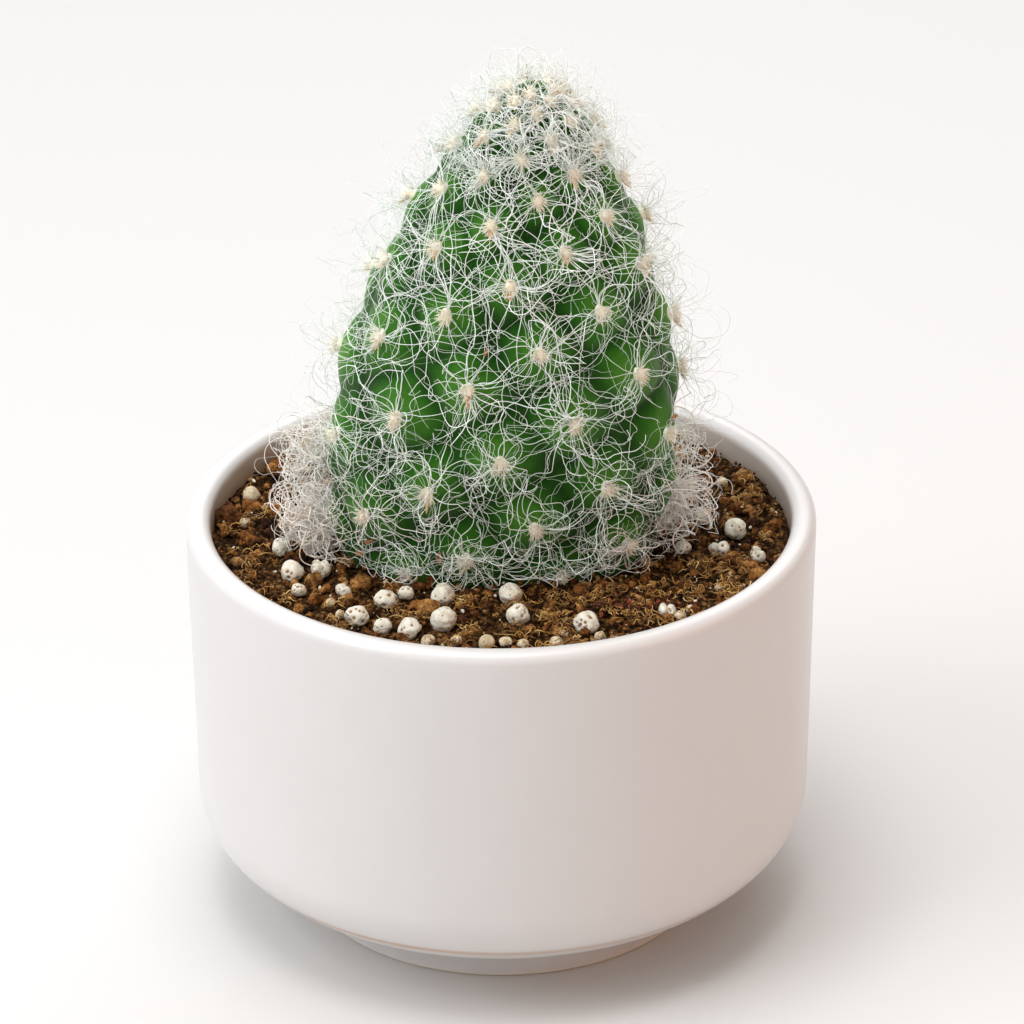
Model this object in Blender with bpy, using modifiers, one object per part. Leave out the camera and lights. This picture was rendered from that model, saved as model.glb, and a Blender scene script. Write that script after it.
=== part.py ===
"""Potted prickly pear: one thick white-haired pad in gritty soil, in a round glazed pot.

Metres, +Z up. The origin is the middle of the pot's foot, where it stands.
The pad's broad face looks towards -Y. Areoles climb the pad on a spiral lattice:
rows of five, each row higher and turned a little further than the one below.
"""
import math
import random

import bmesh
import bpy
import numpy as np
from mathutils import Matrix, Vector, geometry

# Pot
POT_HEIGHT = 0.0657
RIM_RADIUS = 0.0489
LOW_WALL_RADIUS = 0.0481
WALL_THICKNESS = 0.0039
RIM_ROUNDING = 0.0018
CORNER_RUN = 0.0185
CORNER_RISE = 0.0134
FOOT_RADIUS = 0.0314
FOOT_HEIGHT = 0.0062
FOOT_WIDTH = 0.0042
FOOT_EDGE = 0.0006
FOOT_RECESS = 0.0025
FLOOR_TOP = 0.0122
INNER_CORNER_RUN = 0.0167
DRAIN_RADIUS = 0.0050
TURN_STEPS = 48

# Soil
SOIL_LEVEL = 0.0615
SOIL_GAP = 0.0004
GRAIN_SPACING = 0.0036
GRAIN_JITTER = 0.25
GRAIN_MARGIN = 0.75
GRAIN_RELIEF = 0.0006
HOLE_STEPS = 32

# Pad, as half widths of its broad face at heights from its buried base to its tip
PAD_OUTLINE = (
    (0.0000, 0.0500),
    (0.0170, 0.0512),
    (0.0228, 0.0555),
    (0.0245, 0.0623),
    (0.0267, 0.0778),
    (0.0251, 0.0947),
    (0.0205, 0.1096),
    (0.0165, 0.1190),
    (0.0118, 0.1270),
    (0.0075, 0.1335),
    (0.0000, 0.1388),
)
PAD_TIP = PAD_OUTLINE[-1][1]
PAD_CENTRE_X = -0.0005
PAD_CENTRE_Y = -0.0043
PAD_LEAN = 0.0060
PAD_LEAN_POWER = 1.4
PAD_DEPTH_RATIOS = (0.51, 0.66, 0.73)
PAD_COLUMNS = 44
PAD_ROWS = 30
SURVEY_LEVELS = 400
SURVEY_TURNS = 181

# Areoles, in fractions of the pad's girth: a row of five at each step up
AREOLES_PER_ROW = 5
FIRST_ROW_CLIMB = -0.0042
ROW_RISE = 0.0444
ROW_TURN = 0.0787
FIRST_ROW_TURN = 0.0816
LOWEST_AREOLE = SOIL_LEVEL + 0.0030
HIGHEST_AREOLE = PAD_TIP - 0.0016
TUBERCLE_HEIGHT = 0.0015
VALLEY_DEPTH = 0.0008
TUBERCLE_REACH = 0.062
TUBERCLE_FADE = 0.0040
FULL_GIRTH = 0.135

# Tufts and hair-like spines of each areole
TUFT_RADIUS = 0.0012
TUFT_HEIGHT = 0.0009
TUFT_SIDES = 5
SPINES_PER_AREOLE = 4
CROWN_SPINES = 5
CROWN_START = 0.1345
SPINE_RADIUS = 0.00017
SPINE_LENGTHS = (0.0085, 0.0125)
SPINE_RISE = (35, 65)
SPINE_ROOT_RING = 0.0007
SPINE_ROOT_DEPTH = 0.0009
SPINE_CLEARANCE = 0.0045
SPINE_SEED = 7

# White grit stones on the soil: x, y and width
STONES_IN_VIEW = (
    (-0.0340, -0.0056, 0.0034),
    (-0.0321, -0.0142, 0.0039),
    (-0.0277, -0.0135, 0.0034),
    (-0.0292, -0.0050, 0.0028),
    (-0.0309, -0.0198, 0.0026),
    (-0.0240, -0.0204, 0.0026),
    (-0.0176, -0.0235, 0.0039),
    (-0.0146, -0.0212, 0.0027),
    (-0.0219, -0.0288, 0.0039),
    (-0.0180, -0.0321, 0.0031),
    (-0.0138, -0.0330, 0.0041),
    (-0.0089, -0.0225, 0.0041),
    (-0.0088, -0.0306, 0.0044),
    (0.0013, -0.0222, 0.0039),
    (0.0024, -0.0290, 0.0038),
    (0.0127, -0.0318, 0.0044),
    (0.0315, 0.0037, 0.0030),
    (0.0364, -0.0007, 0.0039),
    (0.0394, -0.0093, 0.0027),
    (0.0336, -0.0076, 0.0035),
    (0.0280, -0.0070, 0.0030),
    (0.0250, -0.0280, 0.0031),
)
STONES_BEHIND = 5
STONES_BEHIND_FROM_Y = 0.0100
STONE_WALL_MARGIN = 0.0040
STONE_SPACING = 0.0015
STONE_SUNK_SHARE = 0.30
STONE_GAP = 0.0003
STONE_ROUGHNESS = 0.06
ICOSAHEDRON_FLATS = 0.795
STONE_SEED = 21
STONE_WIDTHS = (0.0028, 0.0044)


def fresh_collection(name):
    """An empty collection linked to the scene."""
    collection = bpy.data.collections.new(name)
    bpy.context.scene.collection.children.link(collection)
    return collection


def material(name, colour, roughness):
    """A plain Principled material."""
    made = bpy.data.materials.new(name)
    made.use_nodes = True
    shader = made.node_tree.nodes["Principled BSDF"]
    shader.inputs["Base Color"].default_value = (*colour, 1.0)
    shader.inputs["Roughness"].default_value = roughness
    return made


def add_object(name, mesh, collection, look=None):
    """An object for a mesh, with its material, in a collection."""
    made = bpy.data.objects.new(name, mesh)
    if look is not None:
        mesh.materials.append(look)
    collection.objects.link(made)
    return made


def to_mesh(name, built):
    """A mesh from a bmesh, which is freed."""
    bmesh.ops.recalc_face_normals(built, faces=built.faces)
    mesh = bpy.data.meshes.new(name)
    built.to_mesh(mesh)
    built.free()
    return mesh


def combine(target, helpers, operation, solver="EXACT"):
    """Join a collection's objects to the target, or cut them from it, and remove them."""
    boolean = target.modifiers.new(operation.lower(), "BOOLEAN")
    boolean.operation = operation
    boolean.solver = solver
    boolean.operand_type = "COLLECTION"
    boolean.collection = helpers
    graph = bpy.context.evaluated_depsgraph_get()
    result = bpy.data.meshes.new_from_object(target.evaluated_get(graph))
    target.modifiers.clear()
    target.data = result
    for helper in list(helpers.objects):
        bpy.data.objects.remove(helper)
    bpy.data.collections.remove(helpers)


def arc(centre, radii, start, end, steps):
    """Points of an elliptical arc in the profile plane, angles in degrees."""
    points = []
    for step in range(steps + 1):
        angle = math.radians(start + (end - start) * step / steps)
        across = centre[0] + radii[0] * math.cos(angle)
        height = centre[1] + radii[1] * math.sin(angle)
        points.append((across, height))
    return points


def inner_radius(height):
    """The pot's inner wall radius at a height between the floor's corner and the rim."""
    corner_top = FOOT_HEIGHT + CORNER_RISE
    share = (height - corner_top) / (POT_HEIGHT - RIM_ROUNDING - corner_top)
    return LOW_WALL_RADIUS + (RIM_RADIUS - LOW_WALL_RADIUS) * share - WALL_THICKNESS


def pot_profile():
    """The pot's closed section: floor, inner wall, rim, outer wall, corner and foot ring."""
    corner_top = FOOT_HEIGHT + CORNER_RISE
    inner_low = inner_radius(corner_top)
    inner_corner = (INNER_CORNER_RUN, corner_top - FLOOR_TOP)
    outer_corner = (CORNER_RUN, CORNER_RISE)
    corner_start = LOW_WALL_RADIUS - CORNER_RUN
    foot_angle = -math.degrees(math.acos((FOOT_RADIUS - corner_start) / CORNER_RUN))
    inner_top = RIM_RADIUS - WALL_THICKNESS
    shoulder = POT_HEIGHT - RIM_ROUNDING
    rounding = (RIM_ROUNDING, RIM_ROUNDING)
    points = [(DRAIN_RADIUS, FLOOR_TOP)]
    points += arc((inner_low - INNER_CORNER_RUN, corner_top), inner_corner, -90, 0, 4)
    points += arc((inner_top + RIM_ROUNDING, shoulder), rounding, 180, 90, 2)
    points += arc((RIM_RADIUS - RIM_ROUNDING, shoulder), rounding, 90, 0, 2)
    points += arc((corner_start, corner_top), outer_corner, 0, foot_angle, 5)
    points += [
        (FOOT_RADIUS, FOOT_EDGE),
        (FOOT_RADIUS - FOOT_EDGE, 0),
        (FOOT_RADIUS - FOOT_WIDTH, 0),
        (FOOT_RADIUS - FOOT_WIDTH - FOOT_EDGE, FOOT_RECESS),
        (DRAIN_RADIUS, FOOT_RECESS),
    ]
    return points


def build_pot(collection):
    """The glazed pot, turned about its axis, with a foot ring and a drain hole."""
    profile = bmesh.new()
    corners = [profile.verts.new((radius, 0, height)) for radius, height in pot_profile()]
    for index, corner in enumerate(corners):
        profile.edges.new((corner, corners[(index + 1) % len(corners)]))
    mesh = bpy.data.meshes.new("pot")
    profile.to_mesh(mesh)
    profile.free()
    pot = add_object("pot", mesh, collection, material("white_glaze", (0.88, 0.87, 0.85), 0.2))
    turn = pot.modifiers.new("turn", "SCREW")
    turn.steps = TURN_STEPS
    turn.render_steps = TURN_STEPS
    turn.use_merge_vertices = True
    turn.merge_threshold = 0.00001
    turn.use_smooth_shade = True


def spline(points, spans=12):
    """A smooth curve through the points of an outline that starts and ends on its axis."""
    flip = np.array((-1.0, 1.0))
    knots = np.array(points)
    knots = np.vstack((knots[1] * flip, knots, knots[-2] * flip))
    curve = []
    for before, start, end, after in zip(knots, knots[1:], knots[2:], knots[3:]):
        for share in np.arange(spans) / spans:
            pull = (end - before) * share
            bend = (2 * before - 5 * start + 4 * end - after) * share**2
            twist = (3 * start - before - 3 * end + after) * share**3
            curve.append(start + (pull + bend + twist) / 2)
    curve.append(knots[-2])
    return np.array(curve)


class Pad:
    """The pad's smooth body: elliptical sections on a leaning centre line."""

    def __init__(self):
        curve = spline(PAD_OUTLINE)
        self.half_widths = np.maximum(curve[:, 0], 0)
        self.heights = curve[:, 1]
        lengths = np.hypot(np.diff(self.half_widths), np.diff(self.heights))
        self.along = np.concatenate(((0,), np.cumsum(lengths))) / lengths.sum()
        self.levels = np.linspace(SOIL_LEVEL, HIGHEST_AREOLE, SURVEY_LEVELS)
        girths = np.array([self.girth(level) for level in self.levels])
        steps = np.diff(self.levels) * (1 / girths[1:] + 1 / girths[:-1]) / 2
        self.climbs = np.concatenate(((0,), np.cumsum(steps)))

    def half_width(self, height):
        """Half of the broad face's width at a height."""
        return float(np.interp(height, self.heights, self.half_widths))

    def depth_ratio(self, height):
        """The section's depth over its width, which grows towards the tip."""
        middle = (SOIL_LEVEL + PAD_TIP) / 2
        return float(np.interp(height, (SOIL_LEVEL, middle, PAD_TIP), PAD_DEPTH_RATIOS))

    def girth(self, height):
        """The section's length round."""
        wide = self.half_width(height)
        deep = wide * self.depth_ratio(height)
        return math.pi * (3 * (wide + deep) - math.sqrt((3 * wide + deep) * (wide + 3 * deep)))

    def climb(self, height):
        """How far up the pad a height is, counted in the girths passed on the way."""
        return float(np.interp(height, self.levels, self.climbs))

    def height_at(self, climb):
        """The height where the climb from the soil has this value."""
        return float(np.interp(climb, self.climbs, self.levels))

    def turn_angles(self, height):
        """Angles round a section and the share of the girth, from the front, at each."""
        angles = np.linspace(0, 2 * math.pi, SURVEY_TURNS)
        ratio = self.depth_ratio(height)
        edges = np.hypot(np.diff(np.sin(angles)), ratio * np.diff(np.cos(angles)))
        shares = np.concatenate(((0,), np.cumsum(edges))) / edges.sum()
        return angles, shares

    def point(self, height, angle, raised=0.0):
        """A point at a height and an angle from the front, raised from the surface."""
        wide = self.half_width(height)
        ratio = self.depth_ratio(height)
        share = max(height - SOIL_LEVEL, 0) / (PAD_TIP - SOIL_LEVEL)
        centre_x = PAD_CENTRE_X + PAD_LEAN * share**PAD_LEAN_POWER
        place = Vector((wide * math.sin(angle), -wide * ratio * math.cos(angle), 0))
        place += Vector((centre_x, PAD_CENTRE_Y, height))
        return place + self.normal(height, angle) * raised if raised else place

    def normal(self, height, angle):
        """The outward direction at a point of the surface."""
        step = 0.0008
        turn = 0.02
        low = max(height - step, PAD_OUTLINE[0][1])
        high = height + step
        if high >= PAD_TIP:
            return Vector((0, 0, 1))
        rise = self.point(high, angle) - self.point(low, angle)
        round_way = self.point(height, angle + turn) - self.point(height, angle - turn)
        return round_way.cross(rise).normalized()


def areoles(pad):
    """The lattice as (share of the girth, climb, height), row by row up the pad."""
    places = []
    top_climb = pad.climb(HIGHEST_AREOLE)
    row = 0
    while FIRST_ROW_CLIMB + row * ROW_RISE < top_climb:
        climb = FIRST_ROW_CLIMB + row * ROW_RISE
        height = pad.height_at(climb)
        turn = FIRST_ROW_TURN + row * ROW_TURN
        if height > LOWEST_AREOLE:
            for place in range(AREOLES_PER_ROW):
                share = (turn + place / AREOLES_PER_ROW) % 1.0
                places.append((share, climb, height))
        row += 1
    return places


def relief_share(pad, height):
    """The share of the full relief at a height, which fades to the soil and to the tip."""
    fade = min((height - SOIL_LEVEL) / TUBERCLE_FADE, 1.0)
    return fade * min(pad.girth(height) / FULL_GIRTH, 1.0)


def relief(pad, lattice, height, share):
    """How far the surface rises over the smooth body: rounded tubercles with valleys between."""
    if height <= SOIL_LEVEL:
        return 0.0
    climb = pad.climb(height)
    rounds = np.abs((lattice[:, 0] - share + 0.5) % 1.0 - 0.5)
    nearest = float(np.min(np.hypot(rounds, lattice[:, 1] - climb)))
    bump = (1 + math.cos(math.pi * min(nearest / TUBERCLE_REACH, 1))) / 2
    return (TUBERCLE_HEIGHT * bump - VALLEY_DEPTH) * relief_share(pad, height)


def pad_body(pad, places):
    """A sphere's grid laid over the pad's body, with the tubercles raised on it."""
    lattice = np.array(places)
    ball = bmesh.new()
    bmesh.ops.create_uvsphere(ball, u_segments=PAD_COLUMNS, v_segments=PAD_ROWS, radius=1)
    for corner in ball.verts:
        along = 1 - math.acos(max(-1.0, min(1.0, corner.co.z))) / math.pi
        height = float(np.interp(along, pad.along, pad.heights))
        angle = math.atan2(corner.co.x, -corner.co.y) % (2 * math.pi)
        angles, shares = pad.turn_angles(height)
        share = float(np.interp(angle, angles, shares))
        corner.co = pad.point(height, angle, relief(pad, lattice, height, share))
    return to_mesh("prickly_pear", ball)


def tuft_mesh():
    """The felted cushion of an areole, a low pyramid with its base sunk in."""
    built = bmesh.new()
    bmesh.ops.create_cone(
        built, cap_ends=True, segments=TUFT_SIDES, radius1=TUFT_RADIUS, radius2=0, depth=2 * TUFT_HEIGHT
    )
    return to_mesh("tuft", built)


def spine_mesh(root, knee, tip, radius):
    """A slim three-sided spine with one bend, tapering to a point."""
    built = bmesh.new()
    first = knee - root
    cone = bmesh.ops.create_cone(
        built, cap_ends=True, segments=3, radius1=radius, radius2=radius * 0.8, depth=first.length
    )
    aim = first.to_track_quat("Z", "Y").to_matrix().to_4x4()
    bmesh.ops.transform(built, matrix=Matrix.Translation((root + knee) / 2) @ aim, verts=cone["verts"])
    end = max(built.faces, key=lambda face: (face.calc_center_median() - root).length)
    grown = bmesh.ops.extrude_discrete_faces(built, faces=[end])["faces"][0]
    bmesh.ops.pointmerge(built, verts=list(grown.verts), merge_co=tip)
    return to_mesh("spine", built)


def spine_bends(pad, place, draw, count):
    """Root, knee and tip of each spine of an areole, fanned out and kept off the soil."""
    share, _, height = place
    angles, shares = pad.turn_angles(height)
    angle = float(np.interp(share, shares, angles))
    base = pad.point(height, angle, (TUBERCLE_HEIGHT - VALLEY_DEPTH) * relief_share(pad, height))
    outward = pad.normal(height, angle)
    side = Vector((0, 0, 1)).cross(outward).normalized()
    upward = outward.cross(side)
    first_turn = draw.uniform(0, 2 * math.pi)
    floor = SOIL_LEVEL + SPINE_CLEARANCE
    bends = []
    for index in range(count):
        turn = first_turn + 2 * math.pi * (index + draw.uniform(-0.2, 0.2)) / count
        across = side * math.cos(turn) + upward * math.sin(turn)
        rise = math.radians(draw.uniform(*SPINE_RISE))
        length = draw.uniform(*SPINE_LENGTHS)
        aim = across * math.cos(rise) + outward * math.sin(rise)
        curl = side * draw.uniform(-0.6, 0.6) + Vector((0, 0, draw.uniform(-0.7, 0.2)))
        root = base + across * SPINE_ROOT_RING - outward * SPINE_ROOT_DEPTH
        knee = root + aim * length * 0.5
        tip = knee + (aim + curl).normalized() * length * 0.5
        knee.z = max(knee.z, floor)
        tip.z = max(tip.z, floor)
        bends.append((root, knee, tip))
    return bends, base, outward


def build_pad(collection, pad):
    """The pad with its tubercles, tufts and spines joined in one body."""
    places = areoles(pad)
    green = material("pad_skin", (0.06, 0.18, 0.03), 0.5)
    plant = add_object("prickly_pear", pad_body(pad, places), collection, green)
    repeats = fresh_collection("areole parts")
    draw = random.Random(SPINE_SEED)
    tuft = tuft_mesh()
    for place in places:
        count = CROWN_SPINES if place[2] > CROWN_START else SPINES_PER_AREOLE
        bends, base, outward = spine_bends(pad, place, draw, count)
        cushion = add_object("tuft", tuft, repeats)
        aim = outward.to_track_quat("Z", "Y").to_matrix().to_4x4()
        cushion.matrix_world = Matrix.Translation(base) @ aim
        for root, knee, tip in bends:
            add_object("spine", spine_mesh(root, knee, tip, SPINE_RADIUS), repeats)
    combine(plant, repeats, "UNION", "MANIFOLD")
    plant.data.name = "prickly_pear"


def stone_places(pad):
    """The stones that show in front and at the sides, and some drawn for the back."""
    draw = random.Random(STONE_SEED)
    places = list(STONES_IN_VIEW)
    limit = inner_radius(SOIL_LEVEL) - STONE_WALL_MARGIN
    wide = pad.half_width(SOIL_LEVEL)
    deep = wide * pad.depth_ratio(SOIL_LEVEL)
    while len(places) < len(STONES_IN_VIEW) + STONES_BEHIND:
        x = draw.uniform(-limit, limit)
        y = draw.uniform(STONES_BEHIND_FROM_Y, limit)
        width = draw.uniform(*STONE_WIDTHS)
        in_pot = math.hypot(x, y) < limit
        clear = all(math.hypot(x - u, y - v) > (width + w) / 2 + STONE_SPACING for u, v, w in places)
        off_pad = math.hypot(x / (wide + width), (y - PAD_CENTRE_Y) / (deep + width)) > 1
        if in_pot and clear and off_pad:
            places.append((x, y, width))
    return places


def ball_mesh(name, radius, fineness, shape, draw=None):
    """A ball of this fineness, roughened where a draw is given, then stretched and turned."""
    built = bmesh.new()
    bmesh.ops.create_icosphere(built, subdivisions=fineness, radius=radius)
    if draw is not None:
        for corner in built.verts:
            corner.co *= 1 + draw.uniform(-STONE_ROUGHNESS, STONE_ROUGHNESS)
    bmesh.ops.transform(built, matrix=shape, verts=built.verts)
    return to_mesh(name, built)


def build_stones(collection, seats, places):
    """A rough pebble for each stone, and the larger coarse ball that cuts its seat in the soil."""
    chalk = material("white_stone", (0.85, 0.83, 0.78), 0.8)
    for index, (x, y, width) in enumerate(places, start=1):
        draw = random.Random(STONE_SEED + index)
        radius = width / 2 / (1 + STONE_ROUGHNESS)
        stretch = Vector((1.0, draw.uniform(0.88, 0.97), draw.uniform(0.8, 0.9)))
        spin = Matrix.Rotation(draw.uniform(0, 2 * math.pi), 4, "Z")
        shape = spin @ Matrix.Diagonal(stretch).to_4x4()
        height = SOIL_LEVEL + radius * stretch.z * (1 - 2 * STONE_SUNK_SHARE)
        stone_mesh = ball_mesh("stone", radius, 2, shape, draw)
        stone = add_object(f"stone_{index:02d}", stone_mesh, collection, chalk)
        stone.location = (x, y, height)
        seat_radius = (width / 2 + STONE_GAP) / ICOSAHEDRON_FLATS
        seat = add_object("seat", ball_mesh("seat", seat_radius, 1, shape), seats)
        seat.location = (x, y, height)


def ring(radius, count):
    """Points evenly round a circle, the first on +X."""
    turns = (2 * math.pi * index / count for index in range(count))
    return [Vector((radius * math.cos(turn), radius * math.sin(turn))) for turn in turns]


def hole_ring(pad):
    """The outline of the plain hole that the pad stands in."""
    wide = pad.half_width(SOIL_LEVEL) + SOIL_GAP
    deep = pad.half_width(SOIL_LEVEL) * pad.depth_ratio(SOIL_LEVEL) + SOIL_GAP
    centre = Vector((PAD_CENTRE_X, PAD_CENTRE_Y))
    stretch = 1 / math.cos(math.pi / HOLE_STEPS)
    return [centre + Vector((point.x * wide, point.y * deep)) * stretch for point in ring(1, HOLE_STEPS)]


def grain_points(outer, hole):
    """Jittered points of a close-packed net over the soil, clear of its two edges."""
    draw = random.Random(STONE_SEED)
    margin = GRAIN_SPACING * GRAIN_MARGIN
    jitter = GRAIN_SPACING * GRAIN_JITTER
    limit = outer - margin
    row_step = GRAIN_SPACING * math.sqrt(3) / 2
    rows = int(limit / row_step) + 1
    points = []
    for row in range(-rows, rows + 1):
        for column in range(-rows, rows + 1):
            x = (column + 0.5 * (row % 2)) * GRAIN_SPACING + draw.uniform(-jitter, jitter)
            y = row * row_step + draw.uniform(-jitter, jitter)
            point = Vector((x, y))
            off_hole = min((point - corner).length for corner in hole) > margin
            if point.length < limit and off_hole and not inside(point, hole):
                points.append(point)
    return points


def inside(point, loop):
    """Whether a point lies inside a closed loop."""
    odd = False
    for start, end in zip(loop, loop[1:] + loop[:1]):
        if (start.y > point.y) != (end.y > point.y):
            crossing = start.x + (end.x - start.x) * (point.y - start.y) / (end.y - start.y)
            odd ^= point.x < crossing
    return odd


def drop_loop(built, edges, levels):
    """Extrude an edge loop down to each (height, inward factor) in turn and close it."""
    for height, factor in levels:
        grown = bmesh.ops.extrude_edge_only(built, edges=edges)["geom"]
        corners = [piece for piece in grown if isinstance(piece, bmesh.types.BMVert)]
        edges = [piece for piece in grown if isinstance(piece, bmesh.types.BMEdge)]
        edges = [edge for edge in edges if all(corner in corners for corner in edge.verts)]
        for corner in corners:
            corner.co = Vector((corner.co.x * factor, corner.co.y * factor, height))
    bmesh.ops.holes_fill(built, edges=edges, sides=len(edges))


def soil_top(outer, hole):
    """The rough top face, a jittered net between the pot's wall and the pad's hole."""
    edge = ring(outer, TURN_STEPS)
    flat = edge + hole + grain_points(outer, hole)
    smooth = len(edge) + len(hole)
    loops = [(index, (index + 1) % len(edge)) for index in range(len(edge))]
    loops += [(len(edge) + index, len(edge) + (index + 1) % len(hole)) for index in range(len(hole))]
    points, _, faces, *_ = geometry.delaunay_2d_cdt(flat, loops, [], 0, 1e-7)
    draw = random.Random(STONE_SEED + 1)
    built = bmesh.new()
    corners = []
    for index, point in enumerate(points):
        rough = 0.0 if index < smooth else draw.uniform(-GRAIN_RELIEF, GRAIN_RELIEF)
        corners.append(built.verts.new((point.x, point.y, SOIL_LEVEL + rough)))
    for face in faces:
        middle = sum((points[index] for index in face), Vector((0, 0))) / len(face)
        if not inside(middle, hole):
            built.faces.new([corners[index] for index in face])
    return built


def soil_levels(outer):
    """Heights and inward factors of the soil's side, which follows the pot's inner corner."""
    corner_top = FOOT_HEIGHT + CORNER_RISE
    low = inner_radius(corner_top) - SOIL_GAP
    floor_edge = low - INNER_CORNER_RUN
    floor_height = FLOOR_TOP + SOIL_GAP
    half_way = math.sqrt(0.5)
    bend_radius = floor_edge + INNER_CORNER_RUN * half_way
    bend_height = corner_top - (corner_top - floor_height) * half_way
    return (
        (corner_top, low / outer),
        (bend_height, bend_radius / low),
        (floor_height, floor_edge / bend_radius),
    )


def build_soil(collection, pad, seats):
    """The soil: it fills the pot, is rough on top and has a plain hole for the pad."""
    outer = inner_radius(SOIL_LEVEL) - SOIL_GAP
    built = soil_top(outer, hole_ring(pad))
    rim = []
    well = []
    for side in built.edges:
        if side.is_boundary:
            reach = min(corner.co.xy.length for corner in side.verts)
            (rim if reach > outer - GRAIN_SPACING / 2 else well).append(side)
    drop_loop(built, rim, soil_levels(outer))
    drop_loop(built, well, ((PAD_OUTLINE[0][1] - STONE_GAP, 1.0),))
    bmesh.ops.triangulate(built, faces=built.faces)
    brown = material("soil", (0.20, 0.11, 0.05), 0.95)
    soil = add_object("soil", to_mesh("soil", built), collection, brown)
    combine(soil, seats, "DIFFERENCE")
    soil.data.name = "soil"


def main():
    """Build the potted prickly pear in an empty scene."""
    for old in list(bpy.data.objects):
        bpy.data.objects.remove(old)
    collection = fresh_collection("potted prickly pear")
    pad = Pad()
    seats = fresh_collection("stone seats")
    build_pot(collection)
    build_stones(collection, seats, stone_places(pad))
    build_soil(collection, pad, seats)
    build_pad(collection, pad)


main()
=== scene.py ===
"""Looks of the potted prickly pear: satin glaze, gritty soil, pitted stones, skin, felt and hair.

Metres, +Z up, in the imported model's frame. The pad, its areole lattice and the pot's section
follow the same formulas as the solids, on finer grids.
"""
import math

import bmesh
import bpy
import numpy as np
from mathutils import Euler, Matrix, Vector
from mathutils.bvhtree import BVHTree


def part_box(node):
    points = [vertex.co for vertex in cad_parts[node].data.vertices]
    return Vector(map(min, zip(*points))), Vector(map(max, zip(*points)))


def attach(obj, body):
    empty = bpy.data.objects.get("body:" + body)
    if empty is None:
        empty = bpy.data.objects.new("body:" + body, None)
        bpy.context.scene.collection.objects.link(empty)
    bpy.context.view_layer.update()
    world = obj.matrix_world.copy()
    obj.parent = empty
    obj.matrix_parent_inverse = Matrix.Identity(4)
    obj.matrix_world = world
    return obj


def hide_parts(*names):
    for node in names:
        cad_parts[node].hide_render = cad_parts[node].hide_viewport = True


# Camera, at the photograph's angle
CAMERA_DISTANCE = 0.900
CAMERA_ELEVATION = 28.34
CAMERA_ORBIT_HEIGHT = 0.035
CAMERA_AIM = (0.00175, 0.0127, 0.0586)
CAMERA_ROLL = -0.44
CAMERA_LENS = 200.9

# Sky, brighter towards a direction up and to the left
SKY_TILT = (-0.73, 0.08, 0.68)
SKY_STRENGTHS = (0.0, 0.945)
SKY_COLOURS = (
    (0.00, (0.880, 0.560, 0.360)),
    (0.45, (0.985, 0.965, 0.950)),
    (1.00, (0.965, 0.985, 1.015)),
)

# Floor
FLOOR_REACH = 6
FLOOR_COLOUR = (0.66, 0.65, 0.64)

# Soft lights: name, place, size, power and colour
LIGHT_AIM = (0, 0, 0.07)
LIGHTS = (
    ("window", (-0.75, -0.35, 0.75), 0.6, 4.8, (0.98, 0.99, 1.0)),
    ("back_window", (0.1, 0.7, 0.8), 0.8, 3.2, (0.98, 0.99, 1.0)),
    ("overhead", (-0.10, -0.15, 1.0), 0.5, 4.4, (1.0, 1.0, 1.0)),
    ("warm_fill", (0.8, -0.35, 0.3), 0.6, 1.35, (1.0, 0.38, 0.08)),
)

# Pot
POT_HEIGHT = 0.0657
RIM_RADIUS = 0.0489
LOW_WALL_RADIUS = 0.0481
WALL_THICKNESS = 0.0039
RIM_ROUNDING = 0.0018
CORNER_RUN = 0.0185
CORNER_RISE = 0.0134
FOOT_RADIUS = 0.0314
FOOT_HEIGHT = 0.0062
CORNER_TOP = FOOT_HEIGHT + CORNER_RISE
SHOULDER = POT_HEIGHT - RIM_ROUNDING
FOOT_WIDTH = 0.0042
FOOT_EDGE = 0.0006
FOOT_RECESS = 0.0025
FLOOR_TOP = 0.0122
INNER_CORNER_RUN = 0.0167
DRAIN_RADIUS = 0.0050
POT_STEPS = 160

# Painted shade and soil reflection on the inner wall, which thin out between two places along X
PAINTED_SHADE_SPAN = (-0.015, 0.030)
PAINTED_SHADE_SHARES = (1.0, 0.5)

# Soil
SOIL_LEVEL = 0.0615
SOIL_GAP = 0.0004
SOIL_RINGS = 40
SOIL_STEPS = 180
SOIL_SINK = 0.0007
WELL_MARGIN = -0.0002

# Low waves on the soil: length, number of waves, seed and height
SOIL_WAVES = ((0.009, 8, 1, 0.00045), (0.0025, 12, 2, 0.00028))

# Grains on the soil: name, fineness, number, widths, height over the soil, tones and seed
BROWNS = (0.2, 0.4, 0.5, 0.6, 0.72, 0.82)
DARKS = (0.0, 0.05, 0.15, 0.3, 0.45, 0.6, 0.75)
GRAINS = (
    ("soil_grains_large", 3, 250, (0.0024, 0.0045), -0.0009, BROWNS, 30),
    ("soil_grains_medium", 2, 680, (0.0013, 0.0024), -0.0002, BROWNS, 31),
    ("soil_grains_small", 1, 1000, (0.0008, 0.0014), 0.0001, DARKS, 34),
    ("soil_grains_fine", 1, 1000, (0.0004, 0.0009), 0.0002, (*DARKS, 0.9), 32),
)
PALE_CRUMBS = ("pale_crumbs", 1, 120, (0.0004, 0.0010), 0.0005, (0.95, 1.0), 33)
GRAIN_TONES = (
    (0.0, (0.020, 0.008, 0.002)),
    (0.3, (0.205, 0.078, 0.021)),
    (0.55, (0.555, 0.228, 0.054)),
    (0.78, (0.810, 0.425, 0.130)),
    (1.0, (0.820, 0.560, 0.270)),
)
RUSSET_TONES = (
    (0.0, (0.050, 0.012, 0.008)),
    (0.5, (0.300, 0.100, 0.060)),
    (1.0, (0.700, 0.160, 0.100)),
)

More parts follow.
